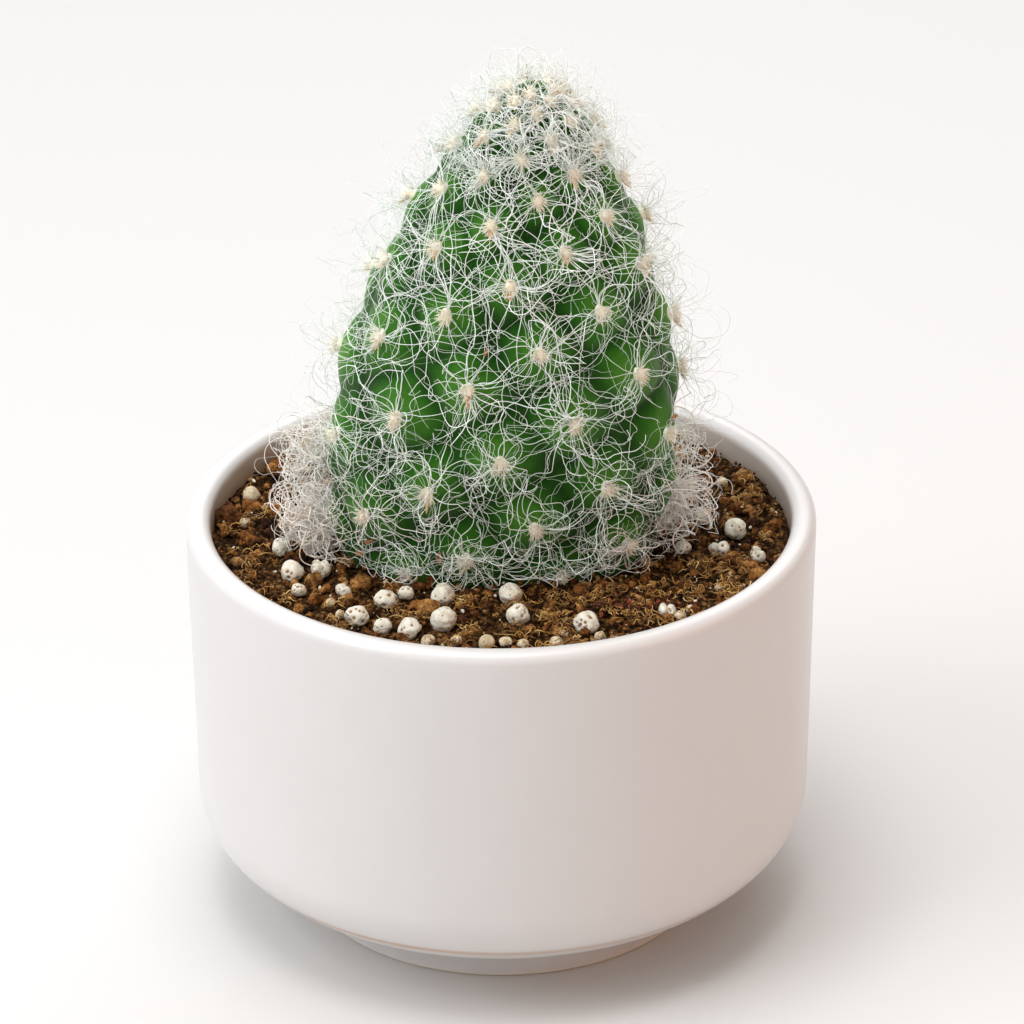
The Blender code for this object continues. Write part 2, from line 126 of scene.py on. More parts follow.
# A patch of reddish grains near the front, and a single one at the left
RUSSET_NUMBER = 150
RUSSETS = (0.1, 0.3, 0.5, 0.7)
RUSSET_GRAINS = ("russet_grains", 1, RUSSET_NUMBER + 1, (0.0007, 0.0014), 0.0005, RUSSETS, 36)
RUSSET_SEED = 35
RUSSET_MIDDLE = (0.0205, -0.0262)
RUSSET_SPREAD = (0.0045, 0.0016)
RED_CRUMB = (-0.0355, -0.0030)

# Husk fibres, most of them in small domed clumps
FIBRE_SEED = 41
FIBRE_POINTS = 6
FIBRE_CLUMPS = 100
FIBRES_PER_CLUMP = 17
LOOSE_FIBRES = 400
FIBRE_SPREAD = 0.020
CLUMP_MARGIN = 0.0022
CLUMP_SPREAD = 0.00075
DOME_HEIGHT = 0.0011
DOME_WIDTH = 0.0012
LOOSE_MARGIN = 0.0012
WALL_MARGIN = 0.0008
CLUMP_LENGTHS = (0.0012, 0.0032)
LOOSE_LENGTHS = (0.0012, 0.0042)
FIBRE_RADII = (0.000035, 0.000085)

# Stones: their size over their solids' boxes, and those made of joined balls
STONE_GROWTH = 1.07
PIT_DEPTH = 0.13
FLAT_SIDES = 9
FLAT_SHARPNESS = 14
LOBED_STONES = {"stone_03": 3, "stone_06": 2, "stone_19": 2, "stone_20": 2, "stone_22": 2}

# Waves on a stone of radius one: length, number of waves, what the seed grows by and height
LUMPS = ((1.8, 6, 0, 0.055), (0.6, 10, 100, 0.024), (0.22, 14, 200, 0.008))

# Small stones, as plan places and widths in millimetres
SMALL_STONES = (
    (-11.1, -36.6, 2.2), (-6.9, -36.7, 2.0), (-2.4, -37.1, 2.5), (0.6, -37.1, 2.0), (3.1, -37.7, 1.9),
    (8.1, -37.3, 2.2), (14.7, -35.5, 1.9), (9.3, -34.1, 1.2), (26.9, -29.3, 2.0), (28.5, -26.7, 1.4),
    (-39.3, 13.0, 2.9), (-39.9, 3.5, 1.8), (-24.4, -27.6, 1.6), (-26.0, -23.7, 1.5), (33.0, -20.0, 1.3),
    (-18.0, 33.0, 2.2), (6.0, 37.0, 2.0), (22.0, 31.0, 2.4), (-31.0, 22.0, 1.7), (35.0, 16.0, 1.9),
)

# Pad, as half widths of its broad face at heights from its buried base to its tip
PAD_OUTLINE = (
    (0.0000, 0.0500),
    (0.0170, 0.0512),
    (0.0228, 0.0555),
    (0.0245, 0.0623),
    (0.0267, 0.0778),
    (0.0251, 0.0947),
    (0.0205, 0.1096),
    (0.0165, 0.1190),
    (0.0118, 0.1270),
    (0.0075, 0.1335),
    (0.0000, 0.1388),
)
PAD_TIP = PAD_OUTLINE[-1][1]
PAD_CENTRE_X = -0.0005
PAD_CENTRE_Y = -0.0043
PAD_LEAN = 0.0060
PAD_LEAN_POWER = 1.4
PAD_DEPTH_RATIOS = (0.51, 0.66, 0.73)
PAD_COLUMNS = 180
PAD_ROWS = 170

# Areoles, in fractions of the pad's girth: a row of five at each step up
AREOLES_PER_ROW = 5
FIRST_ROW_CLIMB = -0.0042
ROW_RISE = 0.0444
ROW_TURN = 0.0787
FIRST_ROW_TURN = 0.0816
LOWEST_AREOLE = SOIL_LEVEL + 0.0006
HIGHEST_AREOLE = PAD_TIP - 0.0012
TUBERCLE_HEIGHT = 0.0016
VALLEY_DEPTH = 0.0008
TUBERCLE_REACH = 0.066
CREASE_DEPTH = 0.0003
CREASE_WIDTH = 0.016
FULL_GIRTH = 0.135

# Tufts, which get smaller over a span of heights, and the dry tails under them
TUFT_SEED = 3
TUFT_SIZES = ((0.110, 0.137), (0.83, 0.72))
TUFT_REACH = (0.00062, 0.00105)
BRISTLES = 84
BRISTLE_LENGTHS = (0.0012, 0.0021)
BRISTLE_RADII = (0.00013, 0.00004)
CUSHION_REACH = (0.00104, 0.00132, 0.00150)
TAIL_SEED = 9
TAIL_SHARE = 0.6
TAIL_LENGTHS = (0.0014, 0.0028)
TAIL_RADII = (0.00044, 0.00036, 0.00024, 0.00006)

# Crumpled leaves: the half sizes of one of width 2, and its height over the skin
LEAF_SEED = 19
LEAF_FORM = (1.4, 0.35, 0.5)
LEAF_LIFT = 0.0005

# Dry remains of leaves on the skin: height, angle from the front in degrees, width
LEAF_REMAINS = (
    (0.0659, -20.7, 0.0020),
    (0.0636, -59.0, 0.0016),
    (0.0663, -52.0, 0.0012),
    (0.0858, 70.6, 0.0013),
    (0.1015, -9.4, 0.0009),
    (0.0780, 150.0, 0.0014),
    (0.0950, -160.0, 0.0010),
)

# Spots on the skin that few hairs cross: height, angle from the front in degrees, radius
BARE_SPOTS = (
    (0.0915, 62.0, 0.0042),
    (0.1070, -5.9, 0.0013),
    (0.1002, -4.2, 0.0016),
    (0.1190, 64.0, 0.0020),
)

# Hair
HAIR_SEED = 11
HAIR_RADIUS = 0.000075
SIDE_HAIR_RADIUS = 0.000090
UNDER_HAIR_RADIUS = 0.000105
HALO_HAIR_RADIUS = 0.000032
BUNDLE = 6
BUNDLED_SHARE = 0.3
LOFT_POWER = 2.2
HAIR_COVER = 4000
HAIR_COVER_BEHIND = 0.65
HAIR_FLOOR = SOIL_LEVEL + 0.0006

# How hairs grow: their straight start, the lengths over which they come loose and change their
# twist, their clearance over the skin, and the pull towards each hair's own height over it
STRAIGHT_START = 0.0005
LOOSENING = 0.0018
TWIST_MEMORY = 0.0022
SKIN_CLEARANCE = 0.00025
LOFT_GIVE = 0.0025
LOFT_PULL = 420

# How far hairs reach past the pad's section at the soil: across, in depth and lying on the soil
BAND_REACH = 0.013
BAND_DEPTH_REACHES = ((0.066, 0.080), (0.007, 0.013))
BAND_LYING_REACH = 0.0048
MASS_REACHES = (0.0118, 0.0065, 0.006)
MASS_TOP = 0.0815

# Hairs that stand off the skin above the rim: the flying ones among the bands, and the halo
FREE_HEIGHT = 0.074
FLYING_SHARE = 0.06
FLYING_LOFTS = (0.003, 0.0085)
FLYING_CURLS = (20, 160)
FLYING_FINENESS = 0.42
SIDE_FINENESS = 0.62
HALO_HAIRS = (10, 18)
STRAY_SHARE = 0.04

# Bands of hair up the pad: name, heights of their areoles, then lengths, heights over the skin,
# curls and sags of the hairs, points a hair, and how densely they cover the skin
HAIR_BANDS = (
    ("hair_base", 0.000, 0.070, (0.010, 0.022), (0.0003, 0.0042), (300, 900), (0, 16), 32, 1.42),
    ("hair_low", 0.070, 0.088, (0.015, 0.034), (0.0004, 0.0042), (150, 750), (0, 14), 40, 1.10),
    ("hair_middle", 0.088, 0.108, (0.015, 0.034), (0.0004, 0.0045), (100, 600), (0, 15), 38, 1.1),
    ("hair_upper", 0.108, 0.126, (0.011, 0.026), (0.0004, 0.0040), (90, 500), (0, 10), 25, 1.62),
    ("hair_top", 0.126, 0.150, (0.005, 0.0130), (0.0003, 0.0030), (150, 750), (0, 10), 15, 4.1),
)

# Masses of hair at the pad's narrow sides: name, side, reach, hairs an areole, radius and tones; the low,
# peach and cream tones of the under masses are painted shade
HAIR_MASSES = (
    ("hair_side_left", -1, 0.0102, 140, SIDE_HAIR_RADIUS, (0.31, 0.5)),
    ("hair_side_right", 1, 0.0098, 56, UNDER_HAIR_RADIUS, (0.42, 0.5)),
    ("hair_under_left", -1, 0.0075, 90, UNDER_HAIR_RADIUS, (0.04, 0.26)),
    ("hair_under_right", 1, 0.0070, 12, UNDER_HAIR_RADIUS, (0.0, 0.2)),
)


class Look:
    """The node tree of a new material or of the sky, with short calls that add and join nodes."""

    def __init__(self, owner, shader="Principled BSDF"):
        self.material = bpy.data.materials.new(owner) if isinstance(owner, str) else owner
        self.material.use_nodes = True
        self.tree = self.material.node_tree
        self.shader = self.tree.nodes[shader]
        self.places = None

    def node(self, kind, **values):
        """A node with its settings and inputs set by name; a node output given is joined."""
        made = self.tree.nodes.new(kind)
        for name, value in values.items():
            if hasattr(made, name):
                setattr(made, name, value)
            else:
                self.feed(made.inputs[name], value)
        return made

    def feed(self, socket, value):
        """Set an input to a value or a colour, or join it to another node's output."""
        if isinstance(value, bpy.types.NodeSocket):
            self.tree.links.new(value, socket)
        elif socket.type == "RGBA":
            socket.default_value = (*value, 1)
        else:
            socket.default_value = value

    def shade(self, **values):
        """Set or join the shader's inputs."""
        for name, value in values.items():
            self.feed(self.shader.inputs[name.replace("_", " ")], value)

    def place(self):
        """The object's own coordinates."""
        if self.places is None:
            self.places = self.tree.nodes.new("ShaderNodeTexCoord").outputs["Object"]
        return self.places

    def noise(self, scale, detail=4.0, roughness=0.55):
        """A noise value over the object."""
        values = {"Scale": scale, "Detail": detail, "Roughness": roughness}
        return self.node("ShaderNodeTexNoise", Vector=self.place(), **values).outputs["Fac"]

    def math(self, operation, first, second):
        """One value worked out from two."""
        made = self.node("ShaderNodeMath", operation=operation)
        self.feed(made.inputs[0], first)
        self.feed(made.inputs[1], second)
        return made.outputs[0]

    def ramp(self, value, stops):
        """A colour ramp of (place, colour) stops over a value."""
        made = self.node("ShaderNodeValToRGB", Fac=value)
        points = made.color_ramp.elements
        points[0].position, points[0].color = stops[0][0], (*stops[0][1], 1)
        points[1].position, points[1].color = stops[-1][0], (*stops[-1][1], 1)
        for where, colour in stops[1:-1]:
            points.new(where).color = (*colour, 1)
        return made.outputs["Color"]

    def span(self, value, low, high, to_low=0.0, to_high=1.0):
        """A value mapped from one range to another, held at the ends."""
        made = self.node("ShaderNodeMapRange")
        for index, given in enumerate((value, low, high, to_low, to_high)):
            self.feed(made.inputs[index], given)
        return made.outputs["Result"]

    def mix(self, share, first, second, how="MIX"):
        """Two colours mixed."""
        made = self.node("ShaderNodeMix", data_type="RGBA", blend_type=how, Factor=share)
        self.feed(made.inputs[6], first)
        self.feed(made.inputs[7], second)
        return made.outputs[2]

    def attribute(self, name):
        """A value stored on the mesh."""
        return self.node("ShaderNodeAttribute", attribute_name=name).outputs["Fac"]

    def bump(self, value, strength, distance):
        """Join a height to the shader's normal."""
        made = self.node("ShaderNodeBump", Strength=strength, Distance=distance, Height=value)
        self.feed(self.shader.inputs["Normal"], made.outputs["Normal"])


def glaze_look():
    """Satin white glaze with a faint mottle, bare clay under the foot, and painted shade and soil
    reflection on the inner wall.
    """
    look = Look("satin_white_glaze")
    height = look.node("ShaderNodeSeparateXYZ", Vector=look.place()).outputs["Z"]
    mottle = look.ramp(look.noise(60, 3), ((0.3, (0.675, 0.650, 0.638)), (0.7, (0.690, 0.667, 0.655))))
    bare = look.span(height, 0.0003, 0.0009, 1.0, 0.0)
    clay = look.mix(bare, mottle, (0.78, 0.70, 0.60))
    # Painted shade and soil reflection: the inner wall goes brown, most at the soil line and a quarter of
    # that above it
    near_soil = look.span(height, SOIL_LEVEL - 0.001, SOIL_LEVEL + 0.004, 1.0, 0.25)
    painted_shade = look.math("MULTIPLY", look.attribute("inside"), near_soil)
    look.shade(Base_Color=look.mix(painted_shade, clay, (0.52, 0.34, 0.21)))
    look.shade(Roughness=look.span(look.noise(240, 3), 0.3, 0.7, 0.30, 0.34))
    look.shade(Coat_Weight=0.35, Coat_Roughness=0.18, IOR=1.5)
    look.bump(look.noise(260, 2), 0.05, 0.0002)
    return look.material


def soil_look():
    """Dark brown fine soil between the grains, in small crumbs of their own tones, with painted shade in
    the gaps between the crumbs.
    """
    look = Look("fine_soil")
    crumbs = look.node("ShaderNodeTexVoronoi", Vector=look.place(), Scale=1300, Randomness=1.0)
    apart = look.node("ShaderNodeSeparateColor", Color=crumbs.outputs["Color"])
    tone = look.ramp(apart.outputs[0], (
        (0.0, (0.018, 0.008, 0.003)),
        (0.5, (0.085, 0.039, 0.013)),
        (0.8, (0.200, 0.096, 0.031)),
        (1.0, (0.260, 0.130, 0.040)),
    ))
    # Painted shade: the gaps between the crumbs go almost black
    gaps = look.span(crumbs.outputs["Distance"], 0.2, 0.75, 1.0, 0.12)
    look.shade(Base_Color=look.mix(gaps, (0.006, 0.003, 0.0015), tone))
    look.shade(Roughness=0.9, Specular_IOR_Level=0.05)
    look.bump(gaps, 1.0, 0.0005)
    return look.material


def russet_look():
    """Reddish grains, from dark plum to brick."""
    return grain_look("russet_grain", RUSSET_TONES)


def grain_look(name="soil_grain", tones=GRAIN_TONES):
    """Grains from dark peat through red brown to ochre, each with its own tone."""
    look = Look(name)
    base = look.ramp(look.attribute("tone"), tones)
    dapple = look.ramp(look.noise(2400, 4, 0.7), (
        (0.38, (0.32, 0.25, 0.20)),
        (0.5, (0.80, 0.75, 0.70)),
        (0.66, (1.0, 1.0, 1.0)),
    ))
    patches = look.ramp(look.noise(750, 3, 0.6), ((0.36, (0.20, 0.15, 0.12)), (0.60, (1.0, 1.0, 1.0))))
    look.shade(Base_Color=look.mix(1.0, look.mix(1.0, base, dapple, "MULTIPLY"), patches, "MULTIPLY"))
    look.shade(Roughness=0.85, Specular_IOR_Level=0.15)
    look.bump(look.noise(2600, 5, 0.7), 1.0, 0.0007)
    return look.material


def tone_look(name, stops, **values):
    """A look whose colour follows the tone at each point."""
    look = Look(name)
    look.shade(Base_Color=look.ramp(look.attribute("tone"), stops), **values)
    return look.material


def fibre_look():
    """Golden brown husk fibre."""
    return tone_look("husk_fibre", (
        (0.0, (0.08, 0.03, 0.006)),
        (0.5, (0.34, 0.15, 0.028)),
        (0.8, (0.66, 0.36, 0.085)),
        (1.0, (0.88, 0.62, 0.26)),
    ), Roughness=0.6)


def stone_look(name="chalky_stone", dark=(0.60, 0.53, 0.40), pale=(0.82, 0.785, 0.68)):
    """Chalky stone with rusty pits."""
    look = Look(name)
    chalk = look.ramp(look.noise(900, 5, 0.6), ((0.3, dark), (0.6, pale)))
    pits = look.attribute("pit")
    look.shade(Base_Color=look.mix(look.span(pits, 0.3, 0.7), chalk, (0.25, 0.13, 0.05)))
    look.shade(Roughness=0.85, Specular_IOR_Level=0.3)
    look.bump(look.noise(2600, 5, 0.65), 0.7, 0.0004)
    return look.material


def tan_stone_look():
    """The smaller stones, stained by the soil."""
    return stone_look("stained_stone", (0.38, 0.26, 0.13), (0.78, 0.66, 0.46))


def skin_look():
    """Green skin with painted light and shade: lighter on the tubercles, deep green in the creases."""
    look = Look("cactus_skin")
    uneven = look.span(look.noise(130, 5, 0.6), 0.3, 0.7, -0.22, 0.22)
    # Painted light and shade: the "rise" value lightens the tubercles and darkens the creases
    green = look.ramp(look.math("ADD", uneven, look.attribute("rise")), (
        (0.0, (0.004, 0.034, 0.001)),
        (0.3, (0.009, 0.068, 0.002)),
        (0.6, (0.024, 0.122, 0.006)),
        (1.0, (0.072, 0.225, 0.022)),
    ))
    fleck = look.span(look.noise(1500, 3), 0.62, 0.75, 0.0, 0.2)
    look.shade(Base_Color=look.mix(fleck, green, (0.12, 0.30, 0.07)))
    look.shade(Roughness=look.span(look.noise(500, 3), 0.3, 0.7, 0.45, 0.60), Specular_IOR_Level=0.06)
    look.shade(Sheen_Weight=0.3, Sheen_Roughness=0.5, Sheen_Tint=(0.75, 1.0, 0.6))
    look.bump(look.noise(900, 4), 0.25, 0.0003)
    return look.material


def felt_look():
    """Cream felt, warmer at its roots."""
    return tone_look("cream_felt", (
        (0.0, (0.98, 0.68, 0.40)),
        (0.4, (1.0, 0.885, 0.68)),
        (1.0, (1.0, 0.965, 0.85)),
    ), Roughness=0.8)


def dry_look():
    """Papery tan and rusty remains of leaves."""
    return tone_look("dry_leaf", (
        (0.0, (0.22, 0.05, 0.025)),
        (0.5, (0.60, 0.32, 0.13)),
        (1.0, (0.86, 0.62, 0.34)),
    ), Roughness=0.75)


def hair_look():
    """White hair with painted shade: cream near the soil, and dimmer and greener, with a painted
    reflection of the skin's green, where it is thin.
    """
    # The low tones are painted shade in dense hair; the high tones are painted shade with a painted green
    # reflection on thin hairs
    return tone_look("white_hair", (
        (0.0, (0.96, 0.80, 0.63)),
        (0.2, (0.995, 0.935, 0.86)),
        (0.42, (1.0, 0.985, 0.95)),
        (0.5, (0.96, 0.995, 0.95)),
        (0.8, (0.90, 0.985, 0.91)),
        (1.0, (0.66, 0.82, 0.60)),
    ), Roughness=0.45, Sheen_Weight=0.8, Sheen_Roughness=0.4)


def add_object(name, data):
    """A new object in the scene."""
    made = bpy.data.objects.new(name, data)
    bpy.context.scene.collection.objects.link(made)
    return made


def face_list(groups):
    """The faces of several arrays as one list."""
    return [face for group in groups for face in group.tolist()]


def piece(name, look, slot, points, faces, smooth=True, **values):
    """A piece that rides on the root: its points, arrays of faces, and values at its points."""
    mesh = bpy.data.meshes.new(name)
    mesh.from_pydata(points, [], face_list(faces), shade_flat=not smooth)
    for label, value in values.items():
        layer = mesh.attributes.new(label, "FLOAT", "POINT")
        layer.data.foreach_set("value", np.asarray(value, np.float32))
    mesh.materials.append(look)
    made = add_object(name, mesh)
    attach(made, "root")
    return made


def band(rings, count, flipped=False, closed=False):
    """Faces between rings of points that follow each other; closed joins the last to the first."""
    row = np.arange(rings if closed else rings - 1)[:, None] * count
    next_row = (row + count) % (rings * count)
    here = np.arange(count)
    after = (here + 1) % count
    corners = [row + here, row + after, next_row + after, next_row + here]
    if flipped:
        corners[1], corners[3] = corners[3], corners[1]
    return np.stack(corners, axis=-1).reshape(-1, 4)


def full_turn(count):
    """Angles spaced evenly once round."""
    return 2 * np.pi * np.arange(count) / count


def unit(vectors):
    """Vectors scaled to length one."""
    lengths = np.linalg.norm(vectors, axis=-1, keepdims=True)
    return vectors / np.maximum(lengths, 1e-12)


def tubes(paths, radii, sides=3):
    """Points and faces of closed tubes along paths of (tube, point, xyz) with their radii."""
    count, points, _ = paths.shape
    along = unit(np.gradient(paths, axis=1))
    helper = np.where(np.abs(along[:, 0, 2:3]) < 0.9, [[0.0, 0.0, 1.0]], [[1.0, 0.0, 0.0]])
    side = unit(np.cross(along[:, 0], helper))
    turns = full_turn(sides)
    rings = np.empty((count, points, sides, 3))
    for index in range(points):
        ahead = along[:, index]
        side = unit(side - np.sum(side * ahead, axis=1, keepdims=True) * ahead)
        other = np.cross(ahead, side)
        spokes = side[:, None] * np.cos(turns)[:, None] + other[:, None] * np.sin(turns)[:, None]
        rings[:, index] = paths[:, index, None] + spokes * radii[:, index, None, None]
    first = (np.arange(count) * points * sides)[:, None, None]
    quads = band(points, sides) + first
    near_cap = first[:, 0] + np.arange(sides)[::-1]
    far_cap = first[:, 0] + (points - 1) * sides + np.arange(sides)
    return rings.reshape(-1, 3), [quads.reshape(-1, 4), near_cap, far_cap]


def ball(fineness):
    """Points and triangles of an icosphere of radius one."""
    built = bmesh.new()
    bmesh.ops.create_icosphere(built, subdivisions=fineness, radius=1)
    points = np.array([corner.co for corner in built.verts])
    faces = np.array([[corner.index for corner in face.verts] for face in built.faces])
    built.free()
    return points, faces


def copies(points, faces, shapes):
    """Many copies of a form, each from its own array of points."""
    offsets = (np.arange(len(shapes)) * len(points))[:, None, None]
    return shapes.reshape(-1, 3), [(faces[None] + offsets).reshape(-1, faces.shape[1])]


def arc(centre, radii, start, end, steps):
    """Points of an elliptical arc in the profile plane, angles in degrees."""
    angles = np.radians(np.linspace(start, end, steps + 1))
    return list(zip(centre[0] + radii[0] * np.cos(angles), centre[1] + radii[1] * np.sin(angles)))


def inner_radius(height):
    """The pot's inner wall radius at a height between the floor's corner and the rim."""
    share = (height - CORNER_TOP) / (SHOULDER - CORNER_TOP)
    return LOW_WALL_RADIUS + (RIM_RADIUS - LOW_WALL_RADIUS) * share - WALL_THICKNESS


def between(start, end, shares):
    """Points on the line from one place to another."""
    start, end = np.array(start), np.array(end)
    return [tuple(start + (end - start) * share) for share in shares]


def pot_profile():
    """The pot's closed section, as in the solid, with finer arcs and a softened foot."""
    inner_low = inner_radius(CORNER_TOP)
    corner_start = LOW_WALL_RADIUS - CORNER_RUN
    foot_angle = -math.degrees(math.acos((FOOT_RADIUS - corner_start) / CORNER_RUN))
    inner_top = RIM_RADIUS - WALL_THICKNESS
    rounding = (RIM_ROUNDING, RIM_ROUNDING)
    edge = (FOOT_EDGE, FOOT_EDGE)
    points = [(DRAIN_RADIUS, FLOOR_TOP)]
    inner_corner = (INNER_CORNER_RUN, CORNER_TOP - FLOOR_TOP)
    points += arc((inner_low - INNER_CORNER_RUN, CORNER_TOP), inner_corner, -90, 0, 12)
    points += between((inner_low, CORNER_TOP), (inner_top, SHOULDER), (0.3, 0.6, 0.85, 0.95))
    points += arc((inner_top + RIM_ROUNDING, SHOULDER), rounding, 180, 90, 8)
    points += arc((RIM_RADIUS - RIM_ROUNDING, SHOULDER), rounding, 90, 0, 8)
    points += between((LOW_WALL_RADIUS, CORNER_TOP), (RIM_RADIUS, SHOULDER), (0.95, 0.8, 0.5, 0.2))
    points += arc((corner_start, CORNER_TOP), (CORNER_RUN, CORNER_RISE), 0, foot_angle, 18)
    points += arc((FOOT_RADIUS - FOOT_EDGE, FOOT_EDGE), edge, 0, -90, 4)
    points += arc((FOOT_RADIUS - FOOT_WIDTH, FOOT_EDGE), edge, -90, -180, 4)
    points += [(FOOT_RADIUS - FOOT_WIDTH - FOOT_EDGE, FOOT_RECESS), (DRAIN_RADIUS, FOOT_RECESS)]
    return np.array(points)


def build_pot():
    """The glazed pot, turned on a fine grid."""
    profile = pot_profile()
    turns = full_turn(POT_STEPS)
    rings = np.stack((
        profile[None, :, 0] * np.cos(turns)[:, None],
        profile[None, :, 0] * np.sin(turns)[:, None],
        np.repeat(profile[None, :, 1], POT_STEPS, axis=0),
    ), axis=-1)
    # Where the glaze gets painted shade and soil reflection: the inner wall above the floor, less of it
    # towards +X, stored as "inside"
    inner_side = profile[:, 0] < RIM_RADIUS - WALL_THICKNESS + 0.0003
    inside = np.tile(inner_side & (profile[:, 1] > FLOOR_TOP - 0.0001), POT_STEPS)
    inside = inside * np.interp(rings[..., 0].ravel(), PAINTED_SHADE_SPAN, PAINTED_SHADE_SHARES)
    points = rings.reshape(-1, 3)
    faces = band(POT_STEPS, len(profile), flipped=True, closed=True)
    made = piece("glazed_pot", glaze_look(), "white_glaze", points, [faces], inside=inside)
    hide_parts("pot")


def spline(points, spans=16):
    """A smooth curve through the points of an outline that starts and ends on its axis."""
    flip = np.array((-1.0, 1.0))
    knots = np.array(points)
    knots = np.vstack((knots[1] * flip, knots, knots[-2] * flip))
    share = (np.arange(spans) / spans)[:, None]
    curve = []
    for before, start, end, after in zip(knots, knots[1:], knots[2:], knots[3:]):
        pull = (end - before) * share
        bend = (2 * before - 5 * start + 4 * end - after) * share**2
        twist = (3 * start - before - 3 * end + after) * share**3
        curve += list(start + (pull + bend + twist) / 2)
    curve.append(knots[-2])
    return np.array(curve)


class Pad:
    """The pad's smooth body: elliptical sections on a leaning centre line.

    Its heights over the soil are also counted as climbs, in the girths passed on the way.
    """

    def __init__(self):
        curve = spline(PAD_OUTLINE)
        self.half_widths = np.maximum(curve[:, 0], 0)
        self.heights = curve[:, 1]
        lengths = np.hypot(np.diff(self.half_widths), np.diff(self.heights))
        self.along = np.concatenate(((0,), np.cumsum(lengths))) / lengths.sum()
        self.levels = np.linspace(SOIL_LEVEL, HIGHEST_AREOLE, 400)
        girths = self.girth(self.levels)
        steps = np.diff(self.levels) * (1 / girths[1:] + 1 / girths[:-1]) / 2
        self.climbs = np.concatenate(((0,), np.cumsum(steps)))
        self.angles = np.linspace(0, 2 * np.pi, 181)

    def half_width(self, height):
        """Half of the broad face's width at a height."""
        return np.interp(height, self.heights, self.half_widths)

    def depth_ratio(self, height):
        """The section's depth over its width, which grows towards the tip."""
        middle = (SOIL_LEVEL + PAD_TIP) / 2
        return np.interp(height, (SOIL_LEVEL, middle, PAD_TIP), PAD_DEPTH_RATIOS)

    def girth(self, height):
        """The section's length round."""
        wide = self.half_width(height)
        deep = wide * self.depth_ratio(height)
        return np.pi * (3 * (wide + deep) - np.sqrt((3 * wide + deep) * (wide + 3 * deep)))

    def footprint(self, margin):
        """Half the width and half the depth of the section at the soil, grown by a margin."""
        wide = float(self.half_width(SOIL_LEVEL)) + margin
        return wide, wide * float(self.depth_ratio(SOIL_LEVEL)) + margin

    def climb(self, height):
        """The climb at a height."""
        return np.interp(height, self.levels, self.climbs)

    def shares(self, height):
        """The share of the girth, from the front, at each of the survey angles."""
        ratio = float(self.depth_ratio(height))
        edges = np.hypot(np.diff(np.sin(self.angles)), ratio * np.diff(np.cos(self.angles)))
        return np.concatenate(((0,), np.cumsum(edges))) / edges.sum()

    def point(self, height, angle):
        """Points of the smooth surface at heights and angles from the front."""
        wide = self.half_width(height)
        share = np.maximum(height - SOIL_LEVEL, 0) / (PAD_TIP - SOIL_LEVEL)
        x = PAD_CENTRE_X + PAD_LEAN * share**PAD_LEAN_POWER + wide * np.sin(angle)
        y = PAD_CENTRE_Y - wide * self.depth_ratio(height) * np.cos(angle)
        return np.stack((x, y, height + 0 * x), axis=-1)

    def normal(self, height, angle):
        """The outward directions at points of the surface."""
        step = 0.0006
        turn = 0.02
        low = np.clip(height - step, PAD_OUTLINE[0][1], PAD_TIP - 2 * step)
        high = np.minimum(low + 2 * step, PAD_TIP - 0.00005)
        rise = self.point(high, angle) - self.point(low, angle)
        middle = (low + high) / 2
        round_way = self.point(middle, angle + turn) - self.point(middle, angle - turn)
        return unit(np.cross(round_way, rise))

    def spot(self, height, angle):
        """One place on the surface, with its angle in degrees, and the outward direction there."""
        where = (np.array(height), np.radians(angle))
        return self.point(*where), self.normal(*where)


def areole_lattice(pad):
    """The areoles as rows of (share of the girth, climb, height), up to the tip."""
    places = []
    rows = math.ceil((pad.climb(HIGHEST_AREOLE) - FIRST_ROW_CLIMB) / ROW_RISE)
    for row in range(rows):
        climb = FIRST_ROW_CLIMB + row * ROW_RISE
        height = max(float(np.interp(climb, pad.climbs, pad.levels)), LOWEST_AREOLE)
        for place in range(AREOLES_PER_ROW):
            turn = FIRST_ROW_TURN + row * ROW_TURN + place / AREOLES_PER_ROW
            places.append((turn % 1.0, climb, height))
    return np.array(places)


def relief(pad, lattice, heights, shares):
    """Rise over the smooth body, and painted light and shade from 0 to 1, which follows how high on its
    tubercle each point lies and dips in the creases.
    """
    climbs = pad.climb(heights)
    rounds = np.abs((lattice[None, :, 0] - shares[:, None] + 0.5) % 1.0 - 0.5)
    gaps = np.hypot(rounds, lattice[None, :, 1] - climbs[:, None])
    gaps.sort(axis=1)
    nearest, second = gaps[:, 0], gaps[:, 1]
    bump = (1 + np.cos(np.pi * np.minimum(nearest / TUBERCLE_REACH, 1))) / 2
    crease = np.exp(-((second - nearest) / CREASE_WIDTH) ** 2)
    size = np.minimum(pad.girth(heights) / FULL_GIRTH, 1.0)
    fade = np.clip((heights - SOIL_LEVEL) / 0.004, 0, 1)
    rise = (TUBERCLE_HEIGHT * bump - VALLEY_DEPTH - CREASE_DEPTH * crease) * size * fade
    # Painted light and shade: lighter on the tubercles, darker in the creases
    tone = np.clip(0.3 + 0.6 * bump - 0.25 * crease, 0, 1)
    return rise, tone


